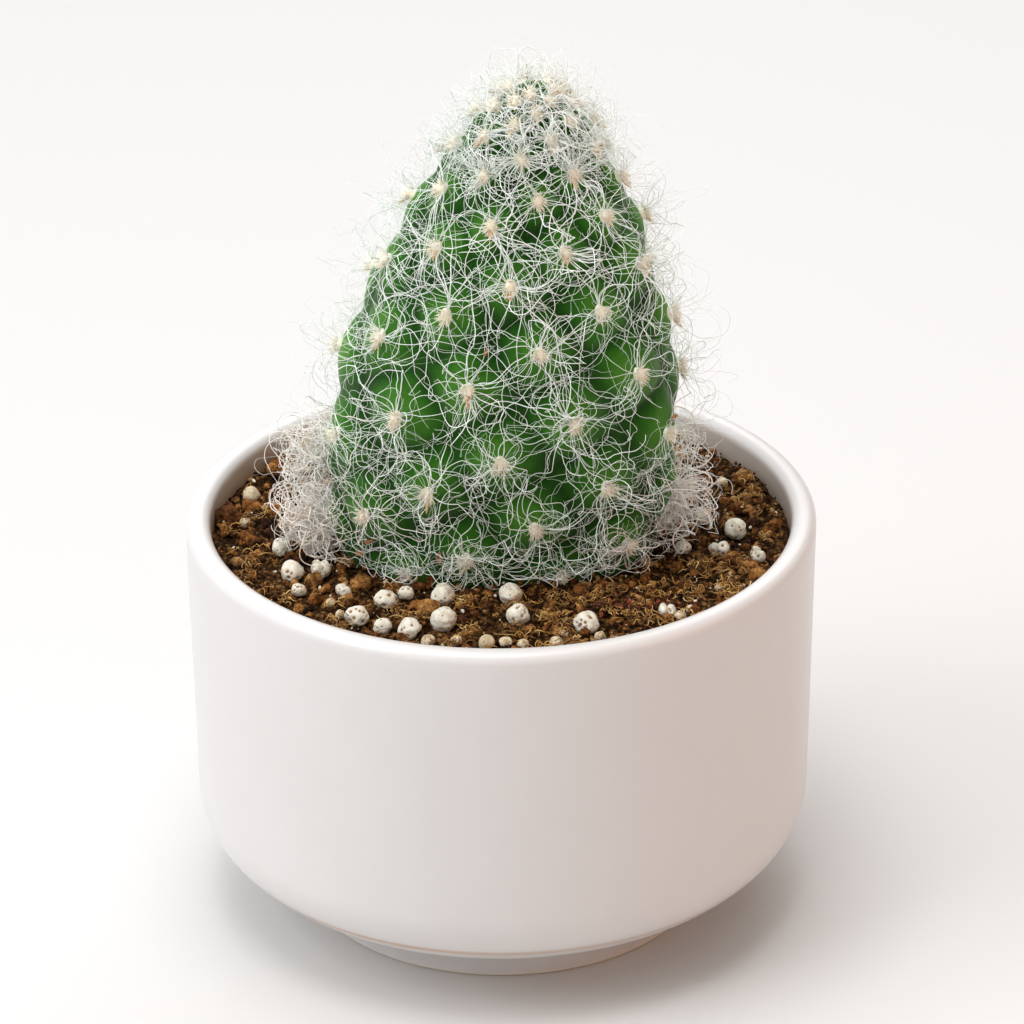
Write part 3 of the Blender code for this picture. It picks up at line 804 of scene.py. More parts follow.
def build_skin(pad, lattice):
    """The pad's skin on a fine grid, with rounded tubercles and creases between them."""
    along = np.linspace(0, 1, PAD_ROWS + 1)[1:-1]
    heights = np.interp(along, pad.along, pad.heights)
    angles = full_turn(PAD_COLUMNS)
    grid_heights = np.repeat(heights, PAD_COLUMNS)
    grid_angles = np.tile(angles, len(heights))
    shares = np.concatenate([np.interp(angles, pad.angles, pad.shares(height)) for height in heights])
    rise, tone = relief(pad, lattice, grid_heights, shares)
    points = pad.point(grid_heights, grid_angles) + pad.normal(grid_heights, grid_angles) * rise[:, None]
    ends = np.array([pad.point(PAD_OUTLINE[0][1], 0.0), pad.point(PAD_TIP, 0.0)])
    points = np.vstack((points, ends))
    tone = np.concatenate((tone, (0.3, 0.6)))
    here = np.arange(PAD_COLUMNS)
    after = (here + 1) % PAD_COLUMNS
    last = (len(heights) - 1) * PAD_COLUMNS
    bottom = np.stack((after, here, np.full(PAD_COLUMNS, len(points) - 2)), axis=-1)
    top = np.stack((last + here, last + after, np.full(PAD_COLUMNS, len(points) - 1)), axis=-1)
    faces = [band(len(heights), PAD_COLUMNS), bottom, top]
    # The skin's painted light and shade of the tubercles and creases goes in as "rise"
    made = piece("cactus_skin", skin_look(), "pad_skin", points, faces, rise=tone)
    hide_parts("prickly_pear")
    return BVHTree.FromPolygons(points.tolist(), face_list(faces))


class Areoles:
    """The areoles' places on the skin, directions out of it and along it, and tuft sizes."""

    def __init__(self, pad, lattice):
        self.height = lattice[:, 2]
        self.angle = np.array([
            np.interp(share, pad.shares(height), pad.angles) for share, _, height in lattice
        ])
        self.outward = pad.normal(self.height, self.angle)
        rise, _ = relief(pad, lattice, self.height, lattice[:, 0])
        self.place = pad.point(self.height, self.angle) + self.outward * rise[:, None]
        self.side = unit(np.cross([[0.0, 0.0, 1.0]], self.outward))
        self.upward = np.cross(self.outward, self.side)
        self.size = np.interp(self.height, *TUFT_SIZES)


def fan(areoles, chosen, draw, rise_low, rise_high):
    """Directions out of the chosen areoles at random turns, and their parts along the skin."""
    turn = draw.uniform(0, 2 * np.pi, len(chosen))
    rise = np.radians(draw.uniform(rise_low, rise_high, len(chosen)))
    across = areoles.side[chosen] * np.cos(turn)[:, None] + areoles.upward[chosen] * np.sin(turn)[:, None]
    aim = across * np.cos(rise)[:, None] + areoles.outward[chosen] * np.sin(rise)[:, None]
    return unit(aim), across


def build_bristles(areoles, draw, felt):
    """A brush of short drooping bristles at each areole."""
    count = len(areoles.height) * BRISTLES
    chosen = np.repeat(np.arange(len(areoles.height)), BRISTLES)
    outward = areoles.outward[chosen]
    size = areoles.size[chosen][:, None]
    turn = draw.uniform(0, 2 * np.pi, (count, 1))
    spread = draw.uniform(0, 1, (count, 1)) ** 0.5
    sideways = areoles.side[chosen] * np.cos(turn) * spread
    upwards = areoles.upward[chosen] * np.sin(turn) * spread
    root = areoles.place[chosen] + outward * 0.0003
    root = root + (sideways * TUFT_REACH[0] + upwards * TUFT_REACH[1]) * size
    droop = np.interp(areoles.height[chosen], (0.075, 0.110), (-0.05, 0.30))[:, None]
    aim = outward * 0.9 - areoles.upward[chosen] * droop + sideways * 0.75 + upwards * 0.65
    aim = unit(aim + draw.normal(0, 0.18, aim.shape))
    length = draw.uniform(*BRISTLE_LENGTHS, (count, 1)) * size
    radii = np.tile(BRISTLE_RADII, (count, 1))
    points, faces = tubes(np.stack((root, root + aim * length), axis=1), radii)
    own = draw.uniform(0.7, 1.0, count) + 0.25 * (np.sin(turn) * spread)[:, 0]
    tone = (np.tile(np.repeat((0.6, 1.0), 3), count) * np.repeat(own, 6)).clip(0, 1)
    piece("areole_bristles", felt, "pad_skin", points, faces, tone=tone)


def build_cushions(areoles, draw, felt):
    """A lumpy felt cushion under the bristles of each areole."""
    count = len(areoles.height)
    form, form_faces = ball(2)
    rough = 1 + draw.normal(0, 0.06, (count, len(form), 1))
    scaled = form[None] * rough * areoles.size[:, None, None]
    ways = (areoles.side, areoles.upward, areoles.outward)
    shapes = sum(
        scaled[..., axis, None] * reach * way[:, None]
        for axis, (reach, way) in enumerate(zip(CUSHION_REACH, ways))
    )
    points, faces = copies(form, form_faces, shapes + areoles.place[:, None])
    own = np.repeat(draw.uniform(-0.1, 0.15, count), len(form))
    tone = 0.6 + own + 0.25 * np.tile(form[:, 1], count) + draw.normal(0, 0.1, len(points))
    piece("areole_cushions", felt, "pad_skin", points, faces, tone=tone.clip(0, 1))


def build_tufts(areoles):
    """The cream tufts, from one run of random draws."""
    draw = np.random.default_rng(TUFT_SEED)
    felt = felt_look()
    build_bristles(areoles, draw, felt)
    build_cushions(areoles, draw, felt)


def nearest(tree, points):
    """The closest point of the skin to each point, and the skin's outward direction there."""
    places = np.empty_like(points)
    outward = np.empty_like(points)
    for index, point in enumerate(points.tolist()):
        place, normal, _, _ = tree.find_nearest(point)
        places[index] = place
        outward[index] = normal
    return places, outward


def grow(tree, hairs, steps, draw):
    """Paths of hairs: straight at first, then curling over the skin at each hair's own height."""
    count = len(hairs["root"])
    paths = np.empty((count, steps, 3))
    place = hairs["root"].copy()
    ahead = hairs["aim"].copy()
    paths[:, 0] = place
    twist = unit(draw.normal(size=(count, 3)))
    step = (hairs["length"] / (steps - 1))[:, None]
    shared = draw.normal(size=(hairs["group"].max() + 1, steps, 3))
    bond = hairs["bond"][:, None]
    loft = hairs["loft"][:, None]
    surface, outward = nearest(tree, place)
    gone = np.zeros((count, 1))
    for index in range(1, steps):
        gone = gone + step
        free = np.clip((gone - STRAIGHT_START) / LOOSENING, 0, 1)
        push = bond * shared[hairs["group"], index] + np.sqrt(1 - bond**2) * draw.normal(size=(count, 3))
        memory = np.exp(-step / TWIST_MEMORY)
        twist = unit(memory * twist + np.sqrt(1 - memory**2) * push * 0.8)
        ahead = unit(ahead + step * free * hairs["curl"][:, None] * np.cross(twist, ahead))
        kinked = draw.uniform(size=(count, 1)) < step * free * (1 - bond) * hairs["kinks"]
        ahead = unit(ahead + kinked * 0.45 * draw.normal(size=(count, 3)))
        above = np.sum((place - surface) * outward, axis=1, keepdims=True)
        pull = np.clip((loft - above) / LOFT_GIVE, -1, 1)
        ahead = ahead + outward * pull * free * step * LOFT_PULL
        ahead[:, 2:3] -= hairs["sag"][:, None] * step * free
        ahead = unit(ahead)
        place = place + ahead * step
        surface, outward = nearest(tree, place)
        above = np.sum((place - surface) * outward, axis=1, keepdims=True)
        place = place + outward * np.maximum(SKIN_CLEARANCE - above, 0)
        low = place[:, 2] < HAIR_FLOOR
        place[low, 2] = HAIR_FLOOR
        ahead[low, 2] = np.abs(ahead[low, 2]) * 0.3
        paths[:, index] = place
    return paths


def clear_of_spots(paths, pad, draw):
    """Which paths to keep: most of those that cross the skin's bare spots are left out."""
    crossing = np.zeros(len(paths), bool)
    for height, angle, radius in BARE_SPOTS:
        spot, outward = pad.spot(height, angle)
        gaps = paths - spot
        away = np.abs(gaps @ outward)
        across = np.linalg.norm(gaps - (gaps @ outward)[..., None] * outward, axis=2)
        crossing |= np.any((across < radius) & (away < 0.010), axis=1)
    return ~crossing | (draw.uniform(size=len(paths)) < 0.3)


def oval(places, wide, deep):
    """How far out places lie in an ellipse round the pad's middle: 1 on its edge."""
    return np.hypot((places[..., 0] - PAD_CENTRE_X) / wide, (places[..., 1] - PAD_CENTRE_Y) / deep)


def near_pad(paths, pad, reach, depth_reach, lying_reach):
    """Which paths stay near the pad, and don't lie on the soil for long."""
    wide, deep = pad.footprint(0)
    near = oval(paths, wide + reach, deep + depth_reach) < 1
    close = oval(paths, wide + lying_reach, deep + lying_reach) < 1
    lying = paths[..., 2] < HAIR_FLOOR + 0.0003
    return np.all(near & (close | ~lying), axis=1) & (np.mean(lying, axis=1) < 0.3)


def beside_pad(paths, pad):
    """Which paths stay mostly off the pad's broad faces, as seen from the front."""
    inner = pad.half_width(paths[..., 2]) * 0.95
    return np.mean(np.abs(paths[..., 0] - PAD_CENTRE_X) < inner, axis=1) < 0.35


def hair_piece(name, paths, draw, look, radius=HAIR_RADIUS, tones=(0.5, 1.0), fineness=1.0):
    """A piece of white hairs along the paths, thinning towards the tips; thin hairs get painted shade,
    dimmer and greener.
    """
    count, steps, _ = paths.shape
    share = np.linspace(0, 1, steps)
    body = draw.uniform(0, 1, (count, 1))
    thickness = (0.5 + 0.85 * body**1.5) * radius * fineness
    radii = thickness * (1 - 0.5 * share[None] ** 1.5)
    points, faces = tubes(paths, radii)
    # Painted shade: thinner hairs take tones nearer the second of the pair
    tone = np.repeat(tones[0] + (tones[1] - tones[0]) * (1 - body[:, 0]) ** 1.5, steps * 3)
    piece(name, look, "pad_skin", points, faces, tone=tone)


def new_hairs(areoles, chosen, draw, rises, lengths, lofts, curls, sags, bundled=0.0, kinks=110):
    """Hairs to grow from the chosen areoles, with their values drawn between limits."""
    count = len(chosen)
    aim, across = fan(areoles, chosen, draw, *rises)
    group = np.arange(count) // BUNDLE
    bond = np.where(draw.uniform(size=count // BUNDLE + 1) < bundled, 0.98, 0.0)[group]
    leader = np.minimum(group * BUNDLE, count - 1)
    near_leader = unit(aim[leader] + 0.05 * draw.normal(size=(count, 3)))
    aim = np.where(bond[:, None] > 0, near_leader, aim)
    return {
        "root": areoles.place[chosen] + across * 0.0006 + areoles.outward[chosen] * 0.0003,
        "aim": aim,
        "length": draw.uniform(*lengths, count),
        "loft": lofts[0] + (lofts[1] - lofts[0]) * draw.uniform(0, 1, count) ** LOFT_POWER,
        "curl": draw.uniform(*curls, count),
        "sag": draw.uniform(*sags, count),
        "group": group,
        "bond": bond,
        "kinks": kinks,
    }


def build_hair_bands(tree, pad, areoles, draw, look):
    """The hair over the skin, band by band: partly in bundles, and some of it flying."""
    behind = np.cos(areoles.angle) < -0.25
    cell = pad.girth(areoles.height) ** 2 * ROW_RISE / AREOLES_PER_ROW
    cell = cell * np.where(behind, HAIR_COVER_BEHIND, 1.0)
    for name, low, high, lengths, lofts, curls, sags, steps, cover in HAIR_BANDS:
        inside = np.flatnonzero((areoles.height >= low) & (areoles.height < high))
        wanted = cell[inside] * HAIR_COVER * cover / (sum(lengths) / 2)
        chosen = np.repeat(inside, np.maximum(wanted, 9).astype(int))
        count = len(chosen)
        limits = ((-10, 45), lengths, lofts, curls, sags)
        hairs = new_hairs(areoles, chosen, draw, *limits, bundled=BUNDLED_SHARE)
        height = areoles.height[chosen]
        edgewise = np.abs(np.sin(areoles.angle[chosen]))
        flying = (draw.uniform(size=count) < FLYING_SHARE) & (height > FREE_HEIGHT)
        lift = np.interp(height, (0.110, 0.135), (1.0, 0.4))
        hairs["loft"] = np.where(flying, draw.uniform(*FLYING_LOFTS, count) * lift, hairs["loft"])
        hairs["curl"] = np.where(flying, draw.uniform(*FLYING_CURLS, count), hairs["curl"])
        at_side = (edgewise > 0.9) & (height > 0.080)
        fineness = np.interp(height, (0.105, 0.125), (1.0, 1.15))
        fineness = np.where(at_side, SIDE_FINENESS, fineness)
        fineness = np.where(flying, FLYING_FINENESS, fineness)
        # Painted shade: hairs near the soil at the narrow sides get cream tones; thin hairs get dim green
        # tones, less so near the tip
        shaded_near_soil = (edgewise > 0.75) & (height < 0.082)
        thick_tone = np.where(shaded_near_soil, 0.2, 0.5)
        thin_tone = np.where(shaded_near_soil, 0.5, np.interp(height, (0.105, 0.130), (1.0, 0.75)))
        paths = grow(tree, hairs, steps, draw)
        depth_reach = np.interp(height, *BAND_DEPTH_REACHES)[:, None]
        kept = clear_of_spots(paths, pad, draw)
        kept &= near_pad(paths, pad, BAND_REACH, depth_reach, BAND_LYING_REACH)
        tones = (thick_tone[kept], thin_tone[kept])
        hair_piece(name, paths[kept], draw, look, HAIR_RADIUS, tones, fineness[kept, None])


def build_halo(tree, areoles, draw, look):
    """The finest hairs, which stand out from the skin above the rim."""
    inside = np.flatnonzero(areoles.height > FREE_HEIGHT)
    each = np.interp(areoles.height[inside], (0.105, 0.130), HALO_HAIRS).astype(int)
    chosen = np.repeat(inside, each)
    height = areoles.height[chosen]
    lofts = (0.0040, 0.0100)
    hairs = new_hairs(areoles, chosen, draw, (15, 75), (0.006, 0.013), lofts, (60, 400), (-6, 6))
    hairs["length"] *= np.interp(height, (0.08, 0.135), (1.0, 0.60))
    hairs["loft"] *= np.interp(height, (0.105, 0.135), (1.0, 0.62))
    stray = (draw.uniform(size=len(chosen)) < STRAY_SHARE) & (height < 0.125)
    hairs["length"] *= np.where(stray, 1.8, 1.0)
    hairs["curl"] *= np.where(stray, 0.12, 1.0)
    paths = grow(tree, hairs, 9, draw)
    hair_piece("hair_halo", paths, draw, look, HALO_HAIR_RADIUS, (0.42, 0.55))


def build_hair_masses(tree, pad, areoles, draw, look):
    """The masses of curly hair at the foot of the pad's narrow sides."""
    for name, side, reach, each, radius, tones in HAIR_MASSES:
        edge = (np.sin(areoles.angle) * side > 0.78) & (areoles.height < 0.080)
        chosen = np.repeat(np.flatnonzero(edge), each)
        lengths, lofts, curls, sags = (0.014, 0.025), (0.0010, reach), (250, 900), (25, 75)
        hairs = new_hairs(areoles, chosen, draw, (5, 75), lengths, lofts, curls, sags, kinks=260)
        hairs["loft"] = draw.uniform(*lofts, len(chosen))
        paths = grow(tree, hairs, 32, draw)
        kept = beside_pad(paths, pad) & near_pad(paths, pad, *MASS_REACHES)
        kept &= paths[..., 2].max(axis=1) < MASS_TOP
        hair_piece(name, paths[kept], draw, look, radius, tones)


def build_hair(tree, pad, areoles):
    """All the white hair, from one run of random draws."""
    draw = np.random.default_rng(HAIR_SEED)
    look = hair_look()
    build_hair_bands(tree, pad, areoles, draw, look)
    build_halo(tree, areoles, draw, look)
    build_hair_masses(tree, pad, areoles, draw, look)


def build_dry_tails(areoles):
    """Small dry tails under many of the areoles."""
    draw = np.random.default_rng(TAIL_SEED)
    chosen = np.flatnonzero(draw.uniform(size=len(areoles.height)) < TAIL_SHARE)
    count = len(chosen)
    size = areoles.size[chosen][:, None]
    outward = areoles.outward[chosen]
    root = areoles.place[chosen] - areoles.upward[chosen] * 0.0009 * size + outward * 0.0006
    lean = areoles.side[chosen] * draw.uniform(-0.5, 0.5, (count, 1))
    drop = unit(-areoles.upward[chosen] + lean + outward * 0.35)
    reach = drop * draw.uniform(*TAIL_LENGTHS, (count, 1)) * size
    paths = [root + reach * share + outward * 0.0003 * share**2 for share in (0, 0.35, 0.7, 1)]
    radii = np.tile(TAIL_RADII, (count, 1)) * size
    points, faces = tubes(np.stack(paths, axis=1), radii, 6)
    tone = np.repeat(draw.uniform(0.45, 1.0, count), 24)
    piece("dry_tails", dry_look(), "pad_skin", points, faces, tone=tone)


def build_leaf_remains(tree, pad):
    """A few crumpled rusty remains of leaves that lie on the skin."""
    draw = np.random.default_rng(LEAF_SEED)
    form, faces = ball(2)
    shapes = []
    for height, angle, width in LEAF_REMAINS:
        place, outward = pad.spot(height, angle)
        spot, _, _, _ = tree.find_nearest(place.tolist())
        crumple = 1 + 0.3 * draw.normal(size=(len(form), 1)).clip(-1.5, 1.5)
        flake = form * crumple * LEAF_FORM
        turn = Vector((0, 1, 0)).rotation_difference(Vector(outward.tolist())).to_matrix()
        shapes.append(flake @ np.array(turn).T * width / 2 + np.array(spot) + outward * LEAF_LIFT)
    points, faces = copies(form, faces, np.array(shapes))
    tone = draw.uniform(0, 0.4, len(points))
    piece("leaf_remains", dry_look(), "pad_skin", points, faces, smooth=False, tone=tone)


def waves(points, scale, count, seed):
    """A smooth random field made of a few cosine waves."""
    draw = np.random.default_rng(seed)
    total = np.zeros(points.shape[:-1])
    for _ in range(count):
        heading = unit(draw.normal(size=points.shape[-1])) * draw.uniform(0.6, 1.6) * 2 * np.pi / scale
        total += np.cos(points @ heading + draw.uniform(0, 2 * np.pi))
    return total / math.sqrt(count)


def build_soil(pad):
    """The body of the soil, uneven on top, with the pad's well, down to the pot's floor."""
    turns = full_turn(SOIL_STEPS)
    circle = np.stack((np.cos(turns), np.sin(turns)), axis=-1)
    hole = circle * pad.footprint(WELL_MARGIN) + (PAD_CENTRE_X, PAD_CENTRE_Y)
    edge = circle * (inner_radius(SOIL_LEVEL) - SOIL_GAP / 2)
    share = np.linspace(0, 1, SOIL_RINGS)[:, None, None]
    flat = hole[None] * (1 - share) + edge[None] * share
    rough = sum(waves(flat, *wave) * height for *wave, height in SOIL_WAVES)
    top = np.concatenate((flat, (SOIL_LEVEL - SOIL_SINK + rough)[..., None]), axis=-1)
    corner_x = inner_radius(CORNER_TOP) - SOIL_GAP - INNER_CORNER_RUN
    corner = (INNER_CORNER_RUN, CORNER_TOP - FLOOR_TOP - SOIL_GAP)
    section = arc((corner_x, CORNER_TOP), corner, 0, -90, 4) + [(DRAIN_RADIUS, FLOOR_TOP + SOIL_GAP)]
    sides = [
        np.column_stack((circle * radius, np.full(SOIL_STEPS, height)))
        for radius, height in section
    ]
    rings = np.concatenate((top, sides))
    points = rings.reshape(-1, 3)
    well = points[:SOIL_STEPS] - (0, 0, SOIL_LEVEL - PAD_OUTLINE[0][1])
    well_wall = band(2, SOIL_STEPS)
    well_wall[well_wall >= SOIL_STEPS] += len(points) - SOIL_STEPS
    step = np.arange(SOIL_STEPS)[None]
    body = band(len(rings), SOIL_STEPS, flipped=True)
    faces = [body, well_wall, len(points) + step, len(points) - 1 - step]
    made = piece("soil_body", soil_look(), "soil", np.vstack((points, well)), faces)
    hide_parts("soil")


def stone_nodes():
    """The names of the white stones' solids."""
    return sorted(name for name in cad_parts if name.startswith("stone_"))


def off_stones(spots, margin):
    """Which places lie clear of the white stones."""
    clear = np.ones(len(spots), bool)
    for node in stone_nodes():
        low, high = (np.array(corner)[:2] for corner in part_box(node))
        gaps = np.linalg.norm(spots - (low + high) / 2, axis=1)
        clear &= gaps > (high - low).max() / 2 + margin
    return clear


def open_ground(pad, draw, count, margin):
    """Random places on the soil, off the pad and the stones and inside the wall."""
    section = pad.footprint(margin)
    reach = inner_radius(SOIL_LEVEL) - margin
    found = np.empty((0, 2))
    while len(found) < count:
        spots = draw.uniform(-reach, reach, (count * 2, 2))
        clear = (oval(spots, *section) > 0.97) & off_stones(spots, margin / 2)
        clear &= np.hypot(spots[:, 0], spots[:, 1]) < reach
        found = np.vstack((found, spots[clear]))
    return found[:count]


def grains(pad, look, kind, spots=None):
    """Angular grains sunk in the soil, each roughened, stretched and turned by itself."""
    name, fineness, count, widths, lift, tones, seed = kind
    draw = np.random.default_rng(seed)
    form, faces = ball(fineness)
    if spots is None:
        spots = open_ground(pad, draw, count, widths[0] * 0.6)
    size = widths[0] + (widths[1] - widths[0]) * draw.uniform(0, 1, count) ** 2
    stretch = draw.uniform(0.5, 1.25, (count, 1, 3))
    facets = unit(draw.normal(size=(count, 5, 3)))
    facing = np.maximum(np.einsum("pk,nfk->npf", form, facets), 0.01)
    cuts = draw.uniform(0.45, 0.85, (count, 1, 5)) / facing
    layers = np.einsum("pk,nk->np", form, unit(draw.normal(size=(count, 3))))
    layers = layers * draw.uniform(9, 16, (count, 1))
    ripple = 0.07 * np.sin(layers + draw.uniform(0, 6.28, (count, 1)))
    rough = (np.minimum(cuts.min(axis=2), 1.0) + ripple)[..., None]
    rough = rough + 0.06 * draw.normal(size=(count, len(form), 1)).clip(-1.6, 1.6)
    turns = [np.array(Euler(draw.uniform(0, 6.28, 3)).to_matrix()) for _ in range(count)]
    shapes = np.einsum("nij,nkj->nki", np.array(turns), form[None] * stretch * rough)
    shapes *= (size / 2)[:, None, None]
    shapes[..., :2] += spots[:, None]
    shapes[..., 2] += (SOIL_LEVEL + lift + draw.uniform(-0.4, 0.25, count) * size)[:, None]
    points, faces = copies(form, faces, shapes)
    tone = draw.choice(tones, count) + draw.normal(0, 0.06, count)
    tone = np.repeat(tone, len(form)).clip(0, 1)
    piece(name, look, "soil", points, faces, smooth=fineness > 1, tone=tone)


def build_grains(pad):
    """Coarse and fine soil grains, small pale crumbs and a patch of reddish grains."""
    look = grain_look()
    for kind in GRAINS:
        grains(pad, look, kind)
    grains(pad, stone_look(), PALE_CRUMBS)
    draw = np.random.default_rng(RUSSET_SEED)
    spots = np.array(RUSSET_MIDDLE) + draw.normal(size=(RUSSET_NUMBER, 2)) * RUSSET_SPREAD
    grains(pad, russet_look(), RUSSET_GRAINS, np.vstack((spots, RED_CRUMB)))


def build_fibres(pad):
    """Curly husk fibres among the grains, most of them in frizzy clumps near the front."""
    draw = np.random.default_rng(FIBRE_SEED)
    places = open_ground(pad, draw, FIBRE_CLUMPS * 3, CLUMP_MARGIN)
    from_front = np.argsort(places[:, 1] + draw.normal(0, FIBRE_SPREAD, len(places)))
    clumps = np.repeat(places[from_front[:FIBRE_CLUMPS]], FIBRES_PER_CLUMP, axis=0)
    away = draw.normal(0, CLUMP_SPREAD, clumps.shape)
    loose = open_ground(pad, draw, LOOSE_FIBRES, LOOSE_MARGIN)
    spot = np.vstack((clumps + away, loose))
    count = len(spot)
    dome = DOME_HEIGHT * np.exp(-np.sum((away / DOME_WIDTH) ** 2, axis=1))
    dome = np.concatenate((dome, np.zeros(LOOSE_FIBRES)))
    in_clump = np.arange(count) < len(clumps)
    heading = draw.uniform(0, 2 * np.pi, count)
    turning = draw.choice((-1, 1), count) * draw.uniform(0.1, 1.0, count)
    lengths = [draw.uniform(*limits, count) for limits in (CLUMP_LENGTHS, LOOSE_LENGTHS)]
    step = np.where(in_clump, *lengths)[:, None] / FIBRE_POINTS
    paths = np.empty((count, FIBRE_POINTS, 3))
    base = SOIL_LEVEL + draw.uniform(-0.0003, 0.0005, count) + dome * draw.uniform(0.5, 1.1, count)
    arch = draw.uniform(-0.0003, 0.0008, count)
    limit = inner_radius(SOIL_LEVEL) - WALL_MARGIN
    for index, share in enumerate(np.linspace(0, 1, FIBRE_POINTS)):
        paths[:, index, :2] = spot
        paths[:, index, 2] = base + arch * np.sin(np.pi * share) + draw.normal(0, 0.00010, count)
        heading = heading + turning + draw.normal(0, 0.35, count)
        spot = spot + np.column_stack((np.cos(heading), np.sin(heading))) * step
        spot = spot * np.minimum(1, limit / np.hypot(spot[:, 0], spot[:, 1]))[:, None]
    radii = np.repeat(draw.uniform(*FIBRE_RADII, (count, 1)), FIBRE_POINTS, axis=1)
    points, faces = tubes(paths, radii)
    tone = np.repeat(draw.uniform(0, 1, count), FIBRE_POINTS * 3)
    piece("husk_fibres", fibre_look(), "soil", points, faces, tone=tone)


def joined_balls(form, draw, count):
    """How far a form of a few joined balls reaches in the directions of its points."""
    turns = draw.uniform(0, 2 * np.pi) + full_turn(count)
    rise = draw.uniform(-0.1, 0.2, count)
    middles = np.column_stack((0.5 * np.cos(turns), 0.5 * np.sin(turns), rise))
    along = form @ middles.T
    sizes = draw.uniform(0.56, 0.68, count)
    reach = along + np.sqrt(np.maximum(along**2 - np.sum(middles**2, axis=1) + sizes**2, 0.0004))
    return reach.max(axis=1)


def stone_form(form, draw_seed, wave_seed, lobes=0):
    """A rounded, lumpy and pitted stone of about radius one, and the depth in its pits."""
    draw = np.random.default_rng(draw_seed)
    porous = draw.uniform(0.85, 1.6)
    pits = unit(draw.normal(size=(draw.integers(16, 27), 3)))
    spread = draw.uniform(0.07, 0.15, len(pits)) * porous
    pit = np.max(np.exp(-((1 - form @ pits.T) * 2 / spread**2)), axis=1)
    lumps = sum(
        waves(form, length, count, wave_seed + growth) * height
        for length, count, growth, height in LUMPS
    )
    flats = unit(draw.normal(size=(FLAT_SIDES, 3)))
    pressed = np.maximum(form @ flats.T, 0) / draw.uniform(0.83, 1.02, len(flats))
    pressed = np.vstack((pressed.T, np.ones(len(form))))
    facets = np.sum(pressed**FLAT_SHARPNESS, axis=0) ** (-1 / FLAT_SHARPNESS)
    if lobes:
        facets = facets * joined_balls(form, draw, lobes)
    return form * (facets + lumps - PIT_DEPTH * porous * pit)[:, None], pit


def build_stones():
    """The white stones, each where its solid lies, and smaller ones between them."""
    look = stone_look()
    form, faces = ball(4)
    for index, node in enumerate(stone_nodes()):
        points, pit = stone_form(form, 100 + index, 200 + index, LOBED_STONES.get(node, 0))
        low, high = (np.array(corner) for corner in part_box(node))
        points = points / np.abs(points).max(axis=0) * (high - low) / 2 * STONE_GROWTH
        points = points + (low + high) / 2
        made = piece(f"white_{node}", look, "white_stone", points, [faces], pit=pit)
        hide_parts(node)
    form, faces = ball(3)
    shapes, pits = [], []
    for index, (x, y, width) in enumerate(SMALL_STONES):
        points, pit = stone_form(form, 140 + index, 400 + index)
        size = width / 2000
        shapes.append(points * size + (x / 1000, y / 1000, SOIL_LEVEL + 0.25 * size))
        pits.append(pit)
    points, faces = copies(form, faces, np.array(shapes))
    pits = np.concatenate(pits)
    piece("small_stones", tan_stone_look(), "white_stone", points, faces, pit=pits)


def turn_to(place, target):
    """The turn that points a camera or a light from a place at a target."""
    return (Vector(target) - Vector(place)).to_track_quat("-Z", "Y")


def add_camera():
    """The camera at the photograph's angle and distance."""
    elevation = math.radians(CAMERA_ELEVATION)
    camera = add_object("camera", bpy.data.cameras.new("camera"))
    camera.data.lens = CAMERA_LENS
    camera.data.sensor_width = 36
    camera.data.clip_end = 10
    back = Vector((0, -math.cos(elevation), math.sin(elevation)))
    camera.location = Vector((0, 0, CAMERA_ORBIT_HEIGHT)) + back * CAMERA_DISTANCE
    aim = turn_to(camera.location, CAMERA_AIM)
    roll = Matrix.Rotation(math.radians(CAMERA_ROLL), 4, "Z")
    camera.rotation_euler = (aim.to_matrix().to_4x4() @ roll).to_euler()
    bpy.context.scene.camera = camera


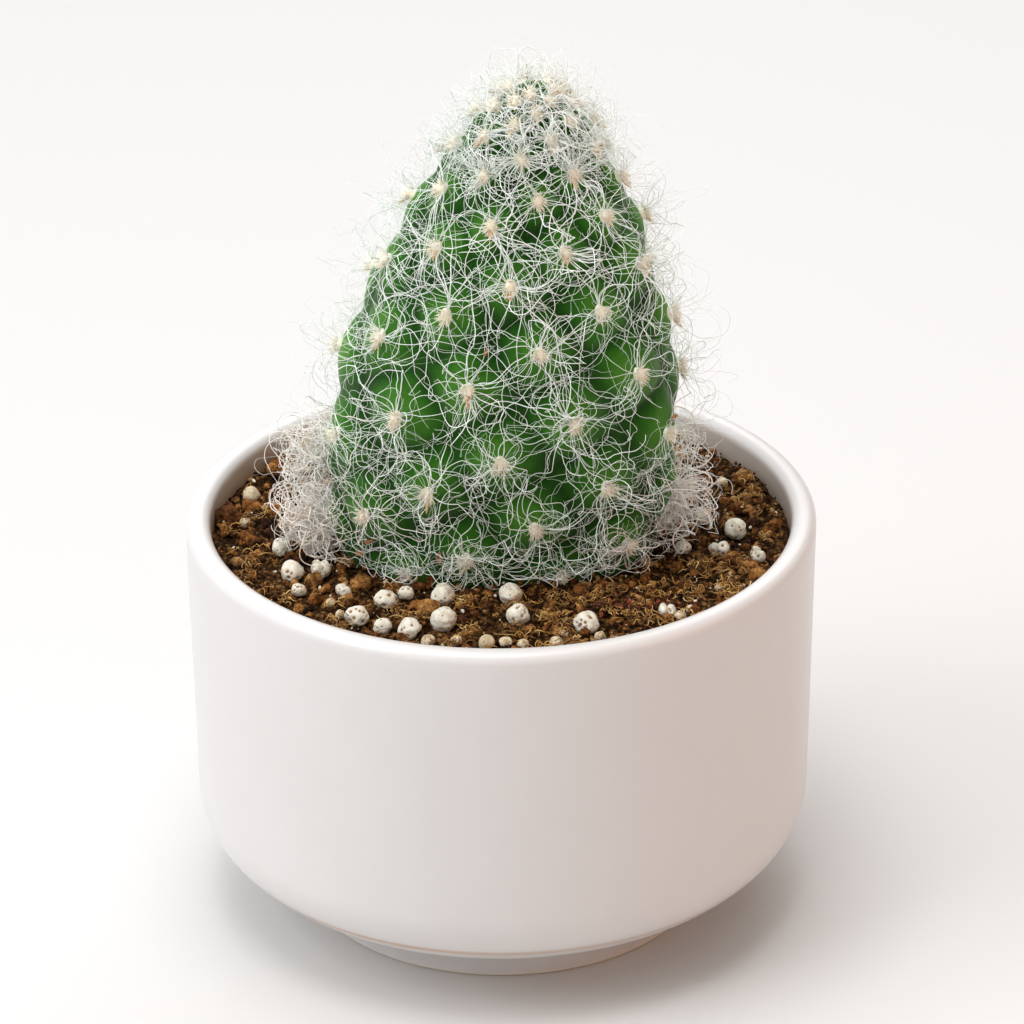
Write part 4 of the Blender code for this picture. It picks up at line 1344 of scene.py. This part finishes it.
def add_floor():
    """A plain pale floor."""
    mesh = bpy.data.meshes.new("floor")
    ends = (-FLOOR_REACH, FLOOR_REACH)
    mesh.from_pydata([(x, y, 0) for y in ends for x in ends], [], [(0, 1, 3, 2)])
    look = Look("pale_floor")
    look.shade(Base_Color=FLOOR_COLOUR, Roughness=0.7)
    mesh.materials.append(look.material)
    floor = add_object("floor", mesh)


def add_sky():
    """Soft daylight, brighter and cooler towards one direction."""
    world = bpy.data.worlds.new("soft daylight")
    sky = Look(world, "Background")
    places = sky.node("ShaderNodeTexCoord")
    tilt = sky.node("ShaderNodeVectorMath", operation="DOT_PRODUCT")
    sky.feed(tilt.inputs[0], places.outputs["Generated"])
    sky.feed(tilt.inputs[1], SKY_TILT)
    strength = sky.span(tilt.outputs["Value"], -1.0, 1.0, *SKY_STRENGTHS)
    colour = sky.ramp(sky.span(tilt.outputs["Value"], -1.0, 1.0), SKY_COLOURS)
    sky.shade(Color=colour, Strength=strength)
    bpy.context.scene.world = world


def add_lights():
    """The soft square lights, with colours shown as they are."""
    for name, place, size, power, colour in LIGHTS:
        light = bpy.data.lights.new(name, "AREA")
        light.size = size
        light.energy = power
        light.color = colour
        made = add_object(name, light)
        made.location = place
        made.rotation_euler = turn_to(place, LIGHT_AIM).to_euler()
    view = bpy.context.scene.view_settings
    view.view_transform = "Standard"
    view.look = "None"
    view.exposure = 0.0


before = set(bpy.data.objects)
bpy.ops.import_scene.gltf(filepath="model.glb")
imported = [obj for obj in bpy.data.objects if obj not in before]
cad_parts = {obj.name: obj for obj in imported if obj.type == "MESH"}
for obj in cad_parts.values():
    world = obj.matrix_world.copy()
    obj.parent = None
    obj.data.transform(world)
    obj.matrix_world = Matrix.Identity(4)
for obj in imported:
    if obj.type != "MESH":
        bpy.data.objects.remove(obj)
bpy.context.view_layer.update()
pad = Pad()
lattice = areole_lattice(pad)
areoles = Areoles(pad, lattice)
add_camera()
add_floor()
add_sky()
add_lights()
build_pot()
build_soil(pad)
build_grains(pad)
build_fibres(pad)
build_stones()
skin = build_skin(pad, lattice)
build_tufts(areoles)
build_dry_tails(areoles)
build_leaf_remains(skin, pad)
build_hair(skin, pad, areoles)
